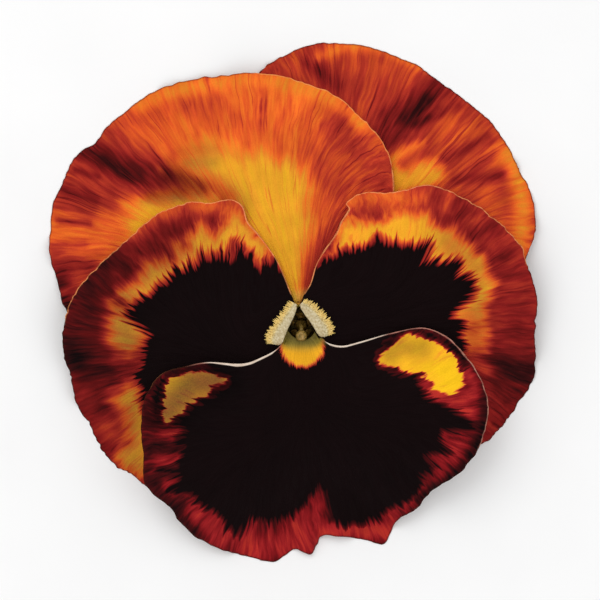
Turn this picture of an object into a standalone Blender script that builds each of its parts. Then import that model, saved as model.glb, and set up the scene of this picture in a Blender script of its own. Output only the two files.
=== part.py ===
"""A garden pansy bloom, cut from its plant and laid on its back with the face up.

Lengths in the tables are millimetres and the finished meshes are metres. +Z points up to someone
who looks at the face, +Y to the two upper petals, +X to the right as the face is seen.
Outlines are given from the middle of the throat. The surface the bloom lies on is z = 0.
"""

import math

import bpy
import numpy as np

MM = 0.001
THROAT = (1.03, -3.22)

BLADE = 0.6
LAYER_STEP = 1.0
CROWN = 8.8
DOME_SLOPE = 0.06
DOME_CURVE = 0.00445

CLAW_RING = 2.7
CLAW_HALF_ANGLE = 17.0
CLAW_BEND = 0.3
CLAW_CLEARANCE = 2.4
FOOT_HEIGHT = 5.55

PETAL_COLUMNS = 34
PETAL_ROWS = 12
CLAW_ROWS = 4

BEARD_HEIGHT = 10.85
BEARD_HAIRS = 14
BEARD_SEED = 11

SEPAL_LENGTH = 17.0
SEPAL_WIDTH = 4.4

RECEPTACLE_RADIUS = 3.1
RECEPTACLE_TOP = 5.2
RECEPTACLE_DEPTH = 1.5
STALK_RADIUS = 0.9
STALK_ANGLE = 126.0

OVARY_RADIUS = 0.85
OVARY_HEIGHT = 2.4
STYLE_RADIUS = 0.28
STIGMA_RADIUS = 0.8
ANTHER_RING = 1.52
ANTHER_THICKNESS = 0.5
ANTHER_HEIGHT = 2.7

SPUR_RADIUS = 1.2
SPUR_WALL = 0.45

# Each petal: its layer from back to front, the angle of its claw, the two ends of the edge where
# blade and claw meet, then one open path of points from the first end to the second: one side, the
# free margin and the other side. A beard is a row of places with the half width of its pad.
UPPER_RIGHT = {
    "name": "upper_petal_right",
    "layer": 0,
    "claw_angle": 54.0,
    "base": [(1.9, 3.2), (3.3, 2.2)],
    "side_a": [(0.5, 8.0), (-3.5, 15.0), (-7.5, 23.0), (-8.6, 30.0)],
    "margin": [(-5.7, 35.6), (-1.7, 38.2), (2.1, 39.5), (6.3, 39.6), (9.5, 39.1), (13.3, 37.8),
               (16.0, 36.7), (18.5, 34.9), (21.8, 32.6), (24.1, 30.8), (26.5, 28.7), (27.9, 26.9),
               (29.4, 24.6), (30.8, 21.4), (31.8, 19.9), (32.8, 16.7), (32.9, 13.4), (31.7, 9.7)],
    "side_b": [(29.0, 5.0), (22.0, 2.6), (13.0, 2.0), (6.5, 1.8)],
    "wave": 0.75,
    "wave_count": 7.0,
    "droop": 0.25,
}
UPPER_LEFT = {
    "name": "upper_petal_left",
    "layer": 1,
    "claw_angle": 126.0,
    "base": [(-2.5, 3.3), (0.6, 3.5)],
    "side_a": [(-6.0, 2.6), (-14.0, 1.6), (-23.0, 0.6)],
    "margin": [(-31.5, 0.4), (-33.3, 2.8), (-34.3, 6.4), (-35.3, 9.7), (-35.3, 12.9), (-34.7, 17.2),
               (-32.9, 21.4), (-31.5, 23.9), (-28.8, 25.8), (-27.3, 27.9), (-24.5, 30.1),
               (-20.9, 32.8), (-15.7, 34.4), (-8.8, 35.3), (-4.3, 35.3), (-1.1, 34.6), (4.9, 32.1),
               (9.1, 28.4), (12.2, 24.2), (13.0, 19.0)],
    "side_b": [(12.2, 14.0), (8.6, 8.6), (4.0, 5.0)],
    "wave": 0.8,
    "wave_count": 8.0,
    "droop": 1.4,
}
SIDE_LEFT = {
    "name": "side_petal_left",
    "layer": 2,
    "claw_angle": 198.0,
    "base": [(-0.8, 2.9), (-4.4, -2.7)],
    "side_a": [(-2.4, 7.0), (-3.5, 9.3), (-5.6, 12.2), (-7.4, 14.3)],
    "margin": [(-8.2, 16.6), (-10.0, 17.5), (-13.0, 17.1), (-15.7, 17.1), (-19.7, 15.8),
               (-23.0, 13.2), (-26.7, 9.9), (-30.4, 6.2), (-32.6, 2.5), (-33.5, -2.2),
               (-33.0, -5.3), (-32.3, -7.7), (-31.2, -11.8), (-29.4, -14.4), (-28.8, -16.2),
               (-26.2, -19.7), (-23.5, -21.3), (-21.4, -22.8)],
    "side_b": [(-17.5, -21.8), (-13.0, -17.0), (-9.0, -11.0), (-6.3, -6.0)],
    "beard": [(-0.65, 2.85, 0.3), (-1.6, 1.3, 0.75), (-2.6, -0.3, 0.95), (-3.2, -1.6, 1.1), (-3.4, -2.5, 0.7)],
    "wave": 0.7,
    "wave_count": 7.0,
    "droop": 4.8,
}
SIDE_RIGHT = {
    "name": "side_petal_right",
    "layer": 2,
    "claw_angle": 342.0,
    "base": [(0.3, 3.0), (4.5, -2.1)],
    "side_a": [(1.3, 5.8), (2.1, 8.4), (3.2, 10.3), (4.8, 12.5), (5.6, 14.3), (6.7, 16.1)],
    "margin": [(6.3, 17.0), (7.2, 17.8), (8.8, 18.5), (12.7, 18.6), (17.1, 19.5), (19.5, 19.3),
               (23.0, 17.7), (26.5, 15.4), (30.2, 11.9), (31.5, 9.4), (33.2, 3.4), (32.8, -0.7),
               (33.0, -3.9), (32.6, -7.7), (30.2, -11.5), (27.9, -14.7), (25.3, -16.7)],
    "side_b": [(21.0, -16.0), (15.0, -11.0), (9.5, -6.0)],
    "beard": [(0.35, 3.0, 0.45), (1.6, 1.6, 0.9), (2.6, 0.2, 1.1), (3.0, -1.0, 1.1), (3.15, -1.8, 0.8)],
    "wave": 0.7,
    "wave_count": 7.0,
    "droop": 4.6,
}
LOWER = {
    "name": "lower_petal",
    "layer": 3,
    "claw_angle": 270.0,
    "base": [(-3.0, -3.3), (3.1, -2.9)],
    "side_a": [(-5.7, -4.6), (-8.3, -5.4), (-13.0, -5.2), (-16.2, -5.8)],
    "margin": [(-19.5, -6.9), (-21.8, -10.1), (-22.4, -13.9), (-22.1, -17.9), (-21.6, -22.7),
               (-18.3, -25.6), (-17.1, -27.7), (-14.4, -30.0), (-11.8, -31.2), (-6.3, -33.0),
               (-3.6, -33.2), (-0.7, -31.6), (1.3, -32.3), (2.2, -30.9), (3.4, -29.7),
               (9.1, -30.2), (11.8, -30.8), (13.4, -27.6), (16.0, -25.9), (18.6, -23.1),
               (22.4, -20.5), (25.1, -16.7), (26.2, -11.7), (25.1, -7.4), (22.7, -3.9),
               (20.5, -1.8)],
    "side_b": [(17.1, -0.4), (12.7, -1.1), (8.0, -2.4), (5.6, -2.9)],
    "wave": 0.7,
    "wave_count": 9.0,
    "droop": 5.6,
}
PETALS = [UPPER_RIGHT, UPPER_LEFT, SIDE_LEFT, SIDE_RIGHT, LOWER]

# The pleat of the lower petal: a fold line from its inner end to the margin, a steep fall on its
# right and an easy rise on its left.
PLEAT_START = (3.0, -22.8)
PLEAT_END = (1.3, -32.5)
PLEAT_HEIGHT = 1.3
PLEAT_LEFT_WIDTH = 4.2
PLEAT_RIGHT_WIDTH = 0.9


def smooth_path(points, per_span=14):
    """A Catmull-Rom curve through the points, dense, and the row at which each point lies."""
    pts = np.array(points, dtype=float)
    ends = np.vstack([2.0 * pts[0] - pts[1], pts, 2.0 * pts[-1] - pts[-2]])
    samples = []
    for k in range(len(pts) - 1):
        p0, p1, p2, p3 = ends[k:k + 4]
        for i in range(per_span):
            t = i / per_span
            samples.append(0.5 * (2.0 * p1 + (p2 - p0) * t
                                  + (2.0 * p0 - 5.0 * p1 + 4.0 * p2 - p3) * t ** 2
                                  + (3.0 * p1 - p0 - 3.0 * p2 + p3) * t ** 3))
    samples.append(pts[-1])
    rows = [k * per_span for k in range(len(pts))]
    return np.array(samples), rows


def along(path, fractions):
    """Points at the given fractions of a polyline's length."""
    steps = np.linalg.norm(np.diff(path, axis=0), axis=1)
    length = np.concatenate([[0.0], np.cumsum(steps)])
    want = np.asarray(fractions) * length[-1]
    return np.stack([np.interp(want, length, path[:, 0]), np.interp(want, length, path[:, 1])], axis=1)


def outline(petal):
    """The petal's smooth outline and the three stretches that it is made of."""
    points = [petal["base"][0]] + petal["side_a"] + petal["margin"] + petal["side_b"] + [petal["base"][1]]
    path, rows = smooth_path(points)
    first = rows[1 + len(petal["side_a"])]
    last = rows[len(petal["side_a"]) + len(petal["margin"])]
    return path, path[:first + 1], path[first:last + 1], path[last:][::-1]


def outside_distance(points, polygon):
    """Distance of plan points from a closed polygon, positive outside of it."""
    a = polygon
    b = np.roll(polygon, -1, axis=0)
    best = np.full(len(points), 1e9)
    inside = np.zeros(len(points), dtype=bool)
    x, y = points[:, 0], points[:, 1]
    for (ax, ay), (bx, by) in zip(a, b):
        dx, dy = bx - ax, by - ay
        span = dx * dx + dy * dy + 1e-12
        t = np.clip(((x - ax) * dx + (y - ay) * dy) / span, 0.0, 1.0)
        best = np.minimum(best, np.hypot(x - ax - t * dx, y - ay - t * dy))
        crosses = (ay > y) != (by > y)
        inside ^= crosses & (x < ax + (y - ay) * dx / (dy if dy else 1e-12))
    return np.where(inside, -best, best)


def ease(value, low, high):
    """0 below low, 1 above high and a smooth step between."""
    t = np.clip((value - low) / (high - low), 0.0, 1.0)
    return t * t * (3.0 - 2.0 * t)


def spaced(count, crowd_at, crowd_width, crowd_gain):
    """Fractions from 0 to 1, closer together near one of them."""
    fine = np.linspace(0.0, 1.0, 2001)
    density = 1.0 + crowd_gain * np.exp(-((fine - crowd_at) / crowd_width) ** 2)
    total = np.concatenate([[0.0], np.cumsum(0.5 * (density[1:] + density[:-1]))])
    return np.interp(np.linspace(0.0, 1.0, count), total / total[-1], fine)


def pleat_rise(points):
    """Height of the lower petal's pleat at plan points."""
    start, end = np.array(PLEAT_START), np.array(PLEAT_END)
    axis = end - start
    length = np.linalg.norm(axis)
    axis = axis / length
    right = np.array([-axis[1], axis[0]])
    down = (points - start) @ axis
    side = (points - start) @ right
    grow = ease(down, -1.0, length)
    left_part = ease(side, -PLEAT_LEFT_WIDTH, 0.0)
    right_part = 1.0 - ease(side, 0.0, PLEAT_RIGHT_WIDTH)
    return PLEAT_HEIGHT * grow * left_part * right_part


def petal_height(petal, points, across, outward):
    """Height of the petal's mid surface over plan points.

    across runs from 0 to 1 along the margin and outward from 0 at the claw to 1 at the margin.
    """
    radius = np.hypot(points[:, 0], points[:, 1])
    height = CROWN - DOME_SLOPE * radius - DOME_CURVE * radius ** 2
    height += petal["layer"] * LAYER_STEP

    covered = np.full(len(points), 1e9)
    beneath = np.full(len(points), 1e9)
    for other in PETALS:
        if other["layer"] == petal["layer"]:
            continue
        distance = outside_distance(points, outline(other)[0])
        if other["layer"] > petal["layer"]:
            covered = np.minimum(covered, distance)
        else:
            beneath = np.minimum(beneath, distance)
    free_above = ease(covered, 0.2, 4.5)
    free_below = ease(beneath, 0.4, 5.0)
    if petal["layer"] == 0:
        free_below = ease(radius, 16.0, 30.0)

    turns = 2.0 * math.pi * across
    wave = 0.62 * np.sin(petal["wave_count"] * turns + petal["layer"])
    wave += 0.38 * np.sin(1.73 * petal["wave_count"] * turns + 2.1 * petal["layer"])
    rim = outward ** 3
    up_only = 0.55 + 0.45 * wave
    height += petal["wave"] * rim * free_above * (free_below * wave + (1.0 - free_below) * up_only)

    reach = np.clip(beneath, 0.0, 15.0) / 15.0
    if petal["layer"] == 0:
        reach = ease(radius, 24.0, 38.0)
    height -= petal["droop"] * reach ** 1.5 * ease(radius, 12.0, 32.0)
    if petal is LOWER:
        height += pleat_rise(points)
    return height


def petal_surface(petal, columns, rows, claw_rows):
    """Mid surface of a petal as a grid of points, from the foot of its claw out to its margin."""
    path, side_a, margin, side_b = outline(petal)
    if petal is LOWER:
        u = spaced(columns, 0.475, 0.035, 4.0)
    else:
        u = np.linspace(0.0, 1.0, columns)
    v = np.linspace(0.0, 1.0, rows) ** 0.85
    base_a, base_b = (np.array(p, dtype=float) for p in petal["base"])
    corner_a, corner_b = margin[0], margin[-1]
    base = base_a + (base_b - base_a) * u[:, None]
    far = along(margin, u)
    left, right = along(side_a, v), along(side_b, v)

    uu, vv = np.meshgrid(u, v)
    plan = (1.0 - vv)[..., None] * base[None] + vv[..., None] * far[None]
    plan += (1.0 - uu)[..., None] * left[:, None] + uu[..., None] * right[:, None]
    plan -= ((1.0 - uu) * (1.0 - vv))[..., None] * base_a + (uu * (1.0 - vv))[..., None] * base_b
    plan -= ((1.0 - uu) * vv)[..., None] * corner_a + (uu * vv)[..., None] * corner_b
    flat = plan.reshape(-1, 2)
    height = petal_height(petal, flat, uu.ravel(), vv.ravel())
    blade = np.concatenate([flat, height[:, None]], axis=1).reshape(rows, columns, 3)

    start = math.radians(petal["claw_angle"])
    turn = 1.0 if np.cross(base_a, base_b) > 0.0 else -1.0
    sweep = start + turn * math.radians(CLAW_HALF_ANGLE) * (2.0 * u - 1.0)
    foot = np.stack([CLAW_RING * np.cos(sweep), CLAW_RING * np.sin(sweep), np.full(columns, FOOT_HEIGHT)], axis=1)
    edge = blade[0]
    inward = foot[:, :2] - edge[:, :2]
    inward -= 0.35 * edge[:, :2]
    inward /= np.linalg.norm(inward, axis=1)[:, None]
    bend = edge + np.concatenate([CLAW_BEND * inward, np.full((columns, 1), -0.7)], axis=1)
    rise = foot + np.array([0.0, 0.0, 2.0])
    claw = []
    for t in np.linspace(1.0, 0.0, claw_rows + 1)[:-1]:
        claw.append((1.0 - t) ** 3 * edge + 3.0 * t * (1.0 - t) ** 2 * bend
                    + 3.0 * t ** 2 * (1.0 - t) * rise + t ** 3 * foot)
    claw = np.array(claw)
    radius = np.hypot(claw[..., 0], claw[..., 1])
    push = np.maximum(1.0, CLAW_CLEARANCE * ease(edge[:, 2] - claw[..., 2], 0.0, 1.5) / radius)
    claw[..., :2] *= push[..., None]
    return np.concatenate([claw, blade], axis=0)


def sheet(mid, thickness):
    """A closed blade round a grid of points, split into the same triangles on both faces."""
    rows, columns, _ = mid.shape
    normal = np.cross(np.gradient(mid, axis=1), np.gradient(mid, axis=0))
    normal /= np.linalg.norm(normal, axis=2, keepdims=True)
    flipped = normal[rows // 2, columns // 2, 2] < 0.0
    if flipped:
        normal = -normal
    upper = mid + 0.5 * thickness * normal
    lower = mid - 0.5 * thickness * normal
    upper[..., 2] = np.maximum(upper[..., 2], thickness)
    lower[..., 2] = np.maximum(lower[..., 2], 0.0)
    count = rows * columns
    verts = np.vstack([upper.reshape(-1, 3), lower.reshape(-1, 3)])
    faces = []
    for i in range(rows - 1):
        for j in range(columns - 1):
            a = i * columns + j
            b, c, d = a + 1, a + columns + 1, a + columns
            faces += [(a, b, c), (a, c, d)]
            faces += [(a + count, c + count, b + count), (a + count, d + count, c + count)]
    ring = [j for j in range(columns)]
    ring += [i * columns + columns - 1 for i in range(1, rows)]
    ring += [(rows - 1) * columns + j for j in range(columns - 2, -1, -1)]
    ring += [i * columns for i in range(rows - 2, 0, -1)]
    for a, b in zip(ring, ring[1:] + ring[:1]):
        faces += [(b, a, a + count), (b, a + count, b + count)]
    if flipped:
        faces = [face[::-1] for face in faces]
    return verts, faces


def tube(path, radii, sides):
    """A closed round tube along a path of points, with a radius at each."""
    path = np.array(path, dtype=float)
    tangent = np.gradient(path, axis=0)
    tangent /= np.linalg.norm(tangent, axis=1)[:, None]
    across = np.cross(tangent[0], (0.0, 1.0, 0.0))
    if np.linalg.norm(across) < 0.1:
        across = np.cross(tangent[0], (1.0, 0.0, 0.0))
    verts = []
    for point, along_path, radius in zip(path, tangent, radii):
        across = across - along_path * (across @ along_path)
        across /= np.linalg.norm(across)
        other = np.cross(along_path, across)
        for k in range(sides):
            angle = 2.0 * math.pi * k / sides
            verts.append(point + radius * (math.cos(angle) * across + math.sin(angle) * other))
    return close_rings(verts, path, sides)


def close_rings(verts, path, sides):
    """Skins rings of points that lie along a path and closes both ends."""
    faces = []
    for i in range(len(path) - 1):
        for k in range(sides):
            a, b = i * sides + k, i * sides + (k + 1) % sides
            faces.append((a, b, b + sides, a + sides))
    verts = verts + [path[0], path[-1]]
    first, last = len(verts) - 2, len(verts) - 1
    top = (len(path) - 1) * sides
    for k in range(sides):
        faces.append((first, (k + 1) % sides, k))
        faces.append((last, top + k, top + (k + 1) % sides))
    return np.array(verts), faces


def material(name, colour, roughness):
    """A plain Principled material."""
    made = bpy.data.materials.new(name)
    made.use_nodes = True
    shader = made.node_tree.nodes["Principled BSDF"]
    shader.inputs["Base Color"].default_value = (*colour, 1.0)
    shader.inputs["Roughness"].default_value = roughness
    shader.inputs["Metallic"].default_value = 0.0
    return made


def add_object(name, verts, faces, skin, parent=None):
    """A mesh object from millimetre points measured from the throat."""
    mesh = bpy.data.meshes.new(name)
    placed = (np.asarray(verts) + np.array([THROAT[0], THROAT[1], 0.0])) * MM
    mesh.from_pydata(placed.tolist(), [], [tuple(int(i) for i in face) for face in faces])
    mesh.polygons.foreach_set("use_smooth", [True] * len(mesh.polygons))
    mesh.update()
    if skin:
        mesh.materials.append(skin)
    made = bpy.data.objects.new(name, mesh)
    bpy.context.scene.collection.objects.link(made)
    made.parent = parent
    return made


def boolean(target, others, operation):
    """Applies one Boolean with a group of objects and removes the group."""
    group = bpy.data.collections.new(target.name + "_group")
    bpy.context.scene.collection.children.link(group)
    for other in others:
        bpy.context.scene.collection.objects.unlink(other)
        group.objects.link(other)
    modifier = target.modifiers.new("join", "BOOLEAN")
    modifier.operation = operation
    modifier.operand_type = "COLLECTION"
    modifier.collection = group
    modifier.solver = "EXACT"
    bpy.context.view_layer.update()
    graph = bpy.context.evaluated_depsgraph_get()
    mesh = bpy.data.meshes.new_from_object(target.evaluated_get(graph))
    target.modifiers.clear()
    target.data = mesh
    for other in others:
        bpy.data.objects.remove(other)
    bpy.data.collections.remove(group)


def cushion(path, half_widths, half_heights, sides):
    """A closed flattened tube along a path in plan, wide across it and low upwards."""
    path = np.array(path, dtype=float)
    tangent = np.gradient(path, axis=0)
    verts = []
    for point, run, wide, high in zip(path, tangent, half_widths, half_heights):
        across = np.array([-run[1], run[0], 0.0]) / math.hypot(run[0], run[1])
        for k in range(sides):
            angle = 2.0 * math.pi * k / sides
            verts.append(point + wide * math.cos(angle) * across + np.array([0.0, 0.0, high * math.sin(angle)]))
    return close_rings(verts, path, sides)


def beard(pad, seed):
    """The pad of matted hairs at the foot of a side petal, with loose hair tips round its outer edge."""
    points = np.array([(x, y) for x, y, _ in pad])
    path, rows = smooth_path(points, 3)
    share = np.linspace(0.0, 1.0, len(path))
    width = np.interp(np.arange(len(path)), rows, [w for _, _, w in pad])
    swell = np.sin(math.pi * (0.12 + 0.76 * share)) ** 0.6
    height = np.full(len(path), BEARD_HEIGHT) - 0.25 * share ** 4
    spine = np.column_stack([path, height])
    parts = [cushion(spine, width * np.clip(3.2 * swell - 1.2, 0.3, 1.0), 0.5 * swell, 10)]
    rng = np.random.default_rng(seed)
    tangent = np.gradient(path, axis=0)
    side = np.column_stack([-tangent[:, 1], tangent[:, 0]])
    side /= np.linalg.norm(side, axis=1)[:, None]
    side *= np.where(np.sum(side * path, axis=1) < 0.0, -1.0, 1.0)[:, None]
    for k in range(BEARD_HAIRS):
        row = 1.0 + (len(path) - 3.5) * (k + 0.6 * rng.random()) / BEARD_HAIRS
        at = int(row)
        foot = path[at] + (path[at + 1] - path[at]) * (row - at) + 0.7 * width[at] * side[at]
        tip = foot + (0.3 * width[at] + 0.45 + 0.2 * rng.random()) * side[at]
        rise = height[at] + 0.1
        hair = [(foot[0], foot[1], rise), (tip[0], tip[1], rise + 0.22 + 0.1 * rng.random())]
        parts.append(tube(hair, [0.24, 0.12], 5))
    return parts


def build_petals(skins, parent):
    """The five petals, the side ones with their beards and the lower one with its spur."""
    for petal in PETALS:
        verts, faces = sheet(petal_surface(petal, PETAL_COLUMNS, PETAL_ROWS, CLAW_ROWS), BLADE)
        made = add_object(petal["name"], verts, faces, skins[petal["name"]], parent)
        if petal["layer"] == 2:
            parts = []
            for k, (points, sides) in enumerate(beard(petal["beard"], BEARD_SEED)):
                parts.append(add_object(f"hair_{k}", points, sides, None))
            boolean(made, parts, "UNION")
        if petal is LOWER:
            axis = [(0.0, -3.4, 8.6), (0.0, -4.0, 7.4), (0.0, -4.9, 5.6), (0.0, -5.7, 3.6), (0.0, -6.0, 2.0), (0.0, -6.1, 1.4)]
            outer = [0.8, 1.2, SPUR_RADIUS, 1.1, 0.85, 0.4]
            inner = [0.4, 0.7, SPUR_RADIUS - SPUR_WALL, 0.6, 0.35, 0.15]
            points, sides = tube(axis, outer, 12)
            boolean(made, [add_object("spur_wall", points, sides, None)], "UNION")
            cavity = [(0.0, -1.6, 7.4), (0.0, -2.9, 7.4), (0.0, -3.8, 6.9)] + axis[2:5]
            points, sides = tube(cavity, [0.7, 0.7, 0.7] + inner[2:5], 10)
            boolean(made, [add_object("spur_hollow", points, sides, None)], "DIFFERENCE")


def sepal_surface(angle, layer):
    """Mid surface of a sepal: ear at the stalk, waist by the receptacle, blade under the petals."""
    spine = [(4.9, 2.3), (3.9, 3.4), (3.8, 4.8), (4.6, 6.0)]
    for radius in (6.5, 9.0, 12.0, 14.7, SEPAL_LENGTH):
        under = CROWN - DOME_SLOPE * radius - DOME_CURVE * radius ** 2 + (layer - 1.0) * LAYER_STEP
        spine.append((radius, under))
    spine[4] = (6.5, 0.5 * (spine[4][1] + 6.9 + 0.6 * layer))
    path, _ = smooth_path(spine, 2)
    share = np.linspace(0.0, 1.0, len(path))
    half = 0.5 * np.interp(share, [0.0, 0.08, 0.24, 0.36, 0.6, 0.85, 1.0],
                           [1.3, 2.1, 1.5, 2.0, SEPAL_WIDTH, 2.6, 0.7])
    direction = np.array([math.cos(math.radians(angle)), math.sin(math.radians(angle))])
    side = np.array([-direction[1], direction[0]])
    grid = []
    for (radius, height), wide in zip(path, half):
        row = []
        for t in (-1.0, 0.0, 1.0):
            plan = radius * direction + t * wide * side
            row.append((plan[0], plan[1], height - 0.12 * wide * (1.0 - t * t)))
        grid.append(row)
    return np.array(grid)


def build_calyx(skins, parent):
    """Five sepals and the receptacle with its cut stalk."""
    for k, (angle, layer) in enumerate([(90.0, 0.0), (162.0, 0.0), (229.0, 1.3), (311.0, 1.3), (18.0, 0.0)]):
        verts, faces = sheet(sepal_surface(angle, layer), BLADE)
        add_object(f"sepal_{k + 1}", verts, faces, skins["sepal"], parent)

    top, low = RECEPTACLE_TOP, RECEPTACLE_TOP - RECEPTACLE_DEPTH
    seat = [(0.0, 0.0, top), (0.0, 0.0, top - 0.5), (0.0, 0.0, low + 0.2), (0.0, 0.0, low - 0.2)]
    points, sides = tube(seat, [RECEPTACLE_RADIUS - 0.1, RECEPTACLE_RADIUS, 2.3, 1.2], 28)
    seat_object = add_object("receptacle", points, sides, skins["stalk"], parent)
    turn = math.radians(STALK_ANGLE)
    stalk = []
    for reach, height in [(0.0, 4.2), (0.25, 3.0), (1.2, 1.9), (3.0, 1.25), (5.4, 0.98), (8.4, 0.94)]:
        stalk.append((reach * math.cos(turn), reach * math.sin(turn), height))
    points, sides = tube(stalk, [STALK_RADIUS] * len(stalk), 14)
    points[:, 2] = np.maximum(points[:, 2], 0.05)
    boolean(seat_object, [add_object("stalk", points, sides, None)], "UNION")


def build_centre(skins, parent):
    """Pistil and stamens."""
    base = RECEPTACLE_TOP + 0.3
    heights = [0.0, 0.25, 0.8, 1.4, 2.0, 2.35]
    widths = [0.55, 0.85, 1.0, 0.92, 0.6, 0.34]
    axis = [(0.0, 0.0, base + h * OVARY_HEIGHT / 2.4) for h in heights]
    radii = [w * OVARY_RADIUS for w in widths]
    axis += [(0.0, 0.0, base + 2.9), (0.0, -0.08, base + 3.5), (0.05, -0.45, base + 3.95), (0.1, -0.9, base + 4.2)]
    radii += [STYLE_RADIUS] * 4
    points, sides = tube(axis, radii, 14)
    pistil = add_object("pistil", points, sides, skins["pistil"], parent)
    centre = np.array([0.05, -1.5, base + 4.45])
    profile = [(math.cos(t), math.sin(t)) for t in np.linspace(-1.45, 1.45, 9)]
    axis = [centre + np.array([0.0, 0.0, STIGMA_RADIUS * s]) for _, s in profile]
    points, sides = tube(axis, [STIGMA_RADIUS * c for c, _ in profile], 16)
    boolean(pistil, [add_object("stigma", points, sides, None)], "UNION")
    mouth = centre + np.array([0.0, -0.25, 0.5])
    points, sides = tube([mouth, mouth + np.array([0.0, -0.2, 0.5])], [0.22, 0.3], 10)
    boolean(pistil, [add_object("stigma_mouth", points, sides, None)], "DIFFERENCE")

    for k, angle in enumerate([90.0, 162.0, 234.0, 306.0, 18.0]):
        grid = []
        for share in np.linspace(0.0, 1.0, 8):
            half_angle = math.radians(28.0 - 11.0 * share)
            ring = ANTHER_RING - 0.5 * share ** 2.5
            height = base + 0.05 + (ANTHER_HEIGHT + 0.5) * share
            row = []
            for t in np.linspace(-1.0, 1.0, 5):
                turn = math.radians(angle) + t * half_angle * (1.0 - 0.55 * share ** 4)
                row.append((ring * math.cos(turn), ring * math.sin(turn), height - 0.5 * t * t * share ** 3))
            grid.append(row)
        verts, faces = sheet(np.array(grid), ANTHER_THICKNESS)
        add_object(f"stamen_{k + 1}", verts, faces, skins["stamen"], parent)


def main():
    for old in list(bpy.data.objects):
        bpy.data.objects.remove(old)
    bloom = bpy.data.objects.new("pansy_bloom", None)
    bpy.context.scene.collection.objects.link(bloom)
    skins = {
        "upper_petal_right": material("petal_orange_red", (0.50, 0.085, 0.022), 0.75),
        "upper_petal_left": material("petal_orange", (0.70, 0.22, 0.030), 0.75),
        "side_petal_left": material("petal_maroon_left", (0.16, 0.020, 0.012), 0.8),
        "side_petal_right": material("petal_maroon_right", (0.20, 0.022, 0.012), 0.8),
        "lower_petal": material("petal_blotched", (0.035, 0.006, 0.006), 0.8),
        "sepal": material("sepal_green", (0.13, 0.24, 0.05), 0.65),
        "stalk": material("stalk_green", (0.20, 0.32, 0.09), 0.6),
        "pistil": material("pistil_green", (0.28, 0.22, 0.05), 0.6),
        "stamen": material("stamen_tan", (0.45, 0.26, 0.09), 0.7),
    }
    build_petals(skins, bloom)
    build_calyx(skins, bloom)
    build_centre(skins, bloom)


main()
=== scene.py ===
"""The pansy bloom as it looks: fine petals with their markings, bearded throat, calyx and stalk.

Lengths are millimetres from the middle of the throat and angles are degrees. The finished meshes are
metres. +Z points up to someone who looks at the face.
"""

import math
from dataclasses import dataclass

import bpy
import numpy as np
from mathutils.kdtree import KDTree
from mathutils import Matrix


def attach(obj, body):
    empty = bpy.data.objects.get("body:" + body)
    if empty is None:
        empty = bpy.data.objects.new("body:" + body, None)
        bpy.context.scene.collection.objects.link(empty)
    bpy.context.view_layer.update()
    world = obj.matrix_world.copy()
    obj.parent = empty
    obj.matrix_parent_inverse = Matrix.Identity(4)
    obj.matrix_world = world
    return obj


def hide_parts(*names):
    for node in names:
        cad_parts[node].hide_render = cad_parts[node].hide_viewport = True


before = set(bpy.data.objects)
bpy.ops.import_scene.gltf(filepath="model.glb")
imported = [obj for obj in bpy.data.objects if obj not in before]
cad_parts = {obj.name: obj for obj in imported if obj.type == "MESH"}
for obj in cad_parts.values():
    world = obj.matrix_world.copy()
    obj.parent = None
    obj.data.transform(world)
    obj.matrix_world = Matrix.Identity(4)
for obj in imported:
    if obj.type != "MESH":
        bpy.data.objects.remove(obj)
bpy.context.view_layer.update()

MM = 0.001
FULL_TURN = 2.0 * math.pi
FAR_OFF = 30.0

# The face: a low dome of petals in layers, a dip at the throat and a pleat in the lower petal
THROAT = (1.03, -3.22)
LAYER_STEP = 1.0
CROWN = 8.8
DOME_SLOPE = 0.06
DOME_CURVE = 0.00445
THROAT_DIP = 1.6
PLEAT_START = (3.0, -22.8)
PLEAT_END = (1.3, -32.5)
PLEAT_HEIGHT = 1.3
PLEAT_LEFT_WIDTH = 4.2
PLEAT_RIGHT_WIDTH = 0.9

# The claws that the petals stand on
CLAW_RING = 2.7
CLAW_HALF_ANGLE = 33.5
CLAW_BEND = 0.3
CLAW_PULL = 1.35
CLAW_DROP = 0.7
CLAW_RISE = 2.0
CLAW_CLEARANCE = 2.4
FOOT_HEIGHT = 5.55

# The petal sheets
PETAL_COLUMNS = 300
PETAL_ROWS = 84
CLAW_ROWS = 16
BLADE_MIDDLE = 0.36
BLADE_MARGIN = 0.2
PLEAT_SHARE = 0.475
PLEAT_CROWD_WIDTH = 0.035
PLEAT_CROWD_GAIN = 4.0

# Folds beside the ribs as rise, power of their growth outward, count, sway and bends
FOLDS = [(0.16, 1.5, 34, 0.8, 5.0), (0.06, 2.5, 90, 0.5, 9.0)]

# Scallops of the margin as reach and count, and the share of that reach on the upper right petal
SCALLOPS = [(0.13, 70), (0.08, 150)]
UPPER_RIGHT_SCALLOPS = 0.55

# How the ribs are found
MARGIN_SAMPLES = 161
WING_SAMPLES = 40
RIB_SAMPLES = 90
RIB_SMOOTHING = 22
RIB_BLUR = 1.6

# The yellow pad at the throat, and the pale lip beside it, a painted highlight on the lower petal's curled
# upper rim, as x and width
PAD_CENTRE = (0.2, -2.8)
PAD_RADIUS = 3.1
LIP_HIGHLIGHT_WIDTHS = [(-14.5, 0.0), (-12.5, 0.12), (-9.0, 0.36), (-6.0, 0.26), (-4.0, 0.2), (-3.2, 0.0),
              (3.2, 0.0), (4.0, 0.22), (6.0, 0.22), (10.0, 0.16), (13.0, 0.0)]

# The beards
BEARD_HEIGHT = 11.15
BEARD_SIDES = 20
HAIR_COUNT = 1100
HAIR_SIDES = 5
HAIR_STEPS = [0.0, 0.3, 0.65, 0.9, 1.0]
HAIR_TAPER = [1.1, 1.0, 0.7, 0.4, 0.15]
HAIR_LENGTH = (0.16, 0.34)
HAIR_RADIUS = (0.05, 0.07)
HAIR_SCATTER = 0.2
HAIR_DROOP = 0.16

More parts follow.
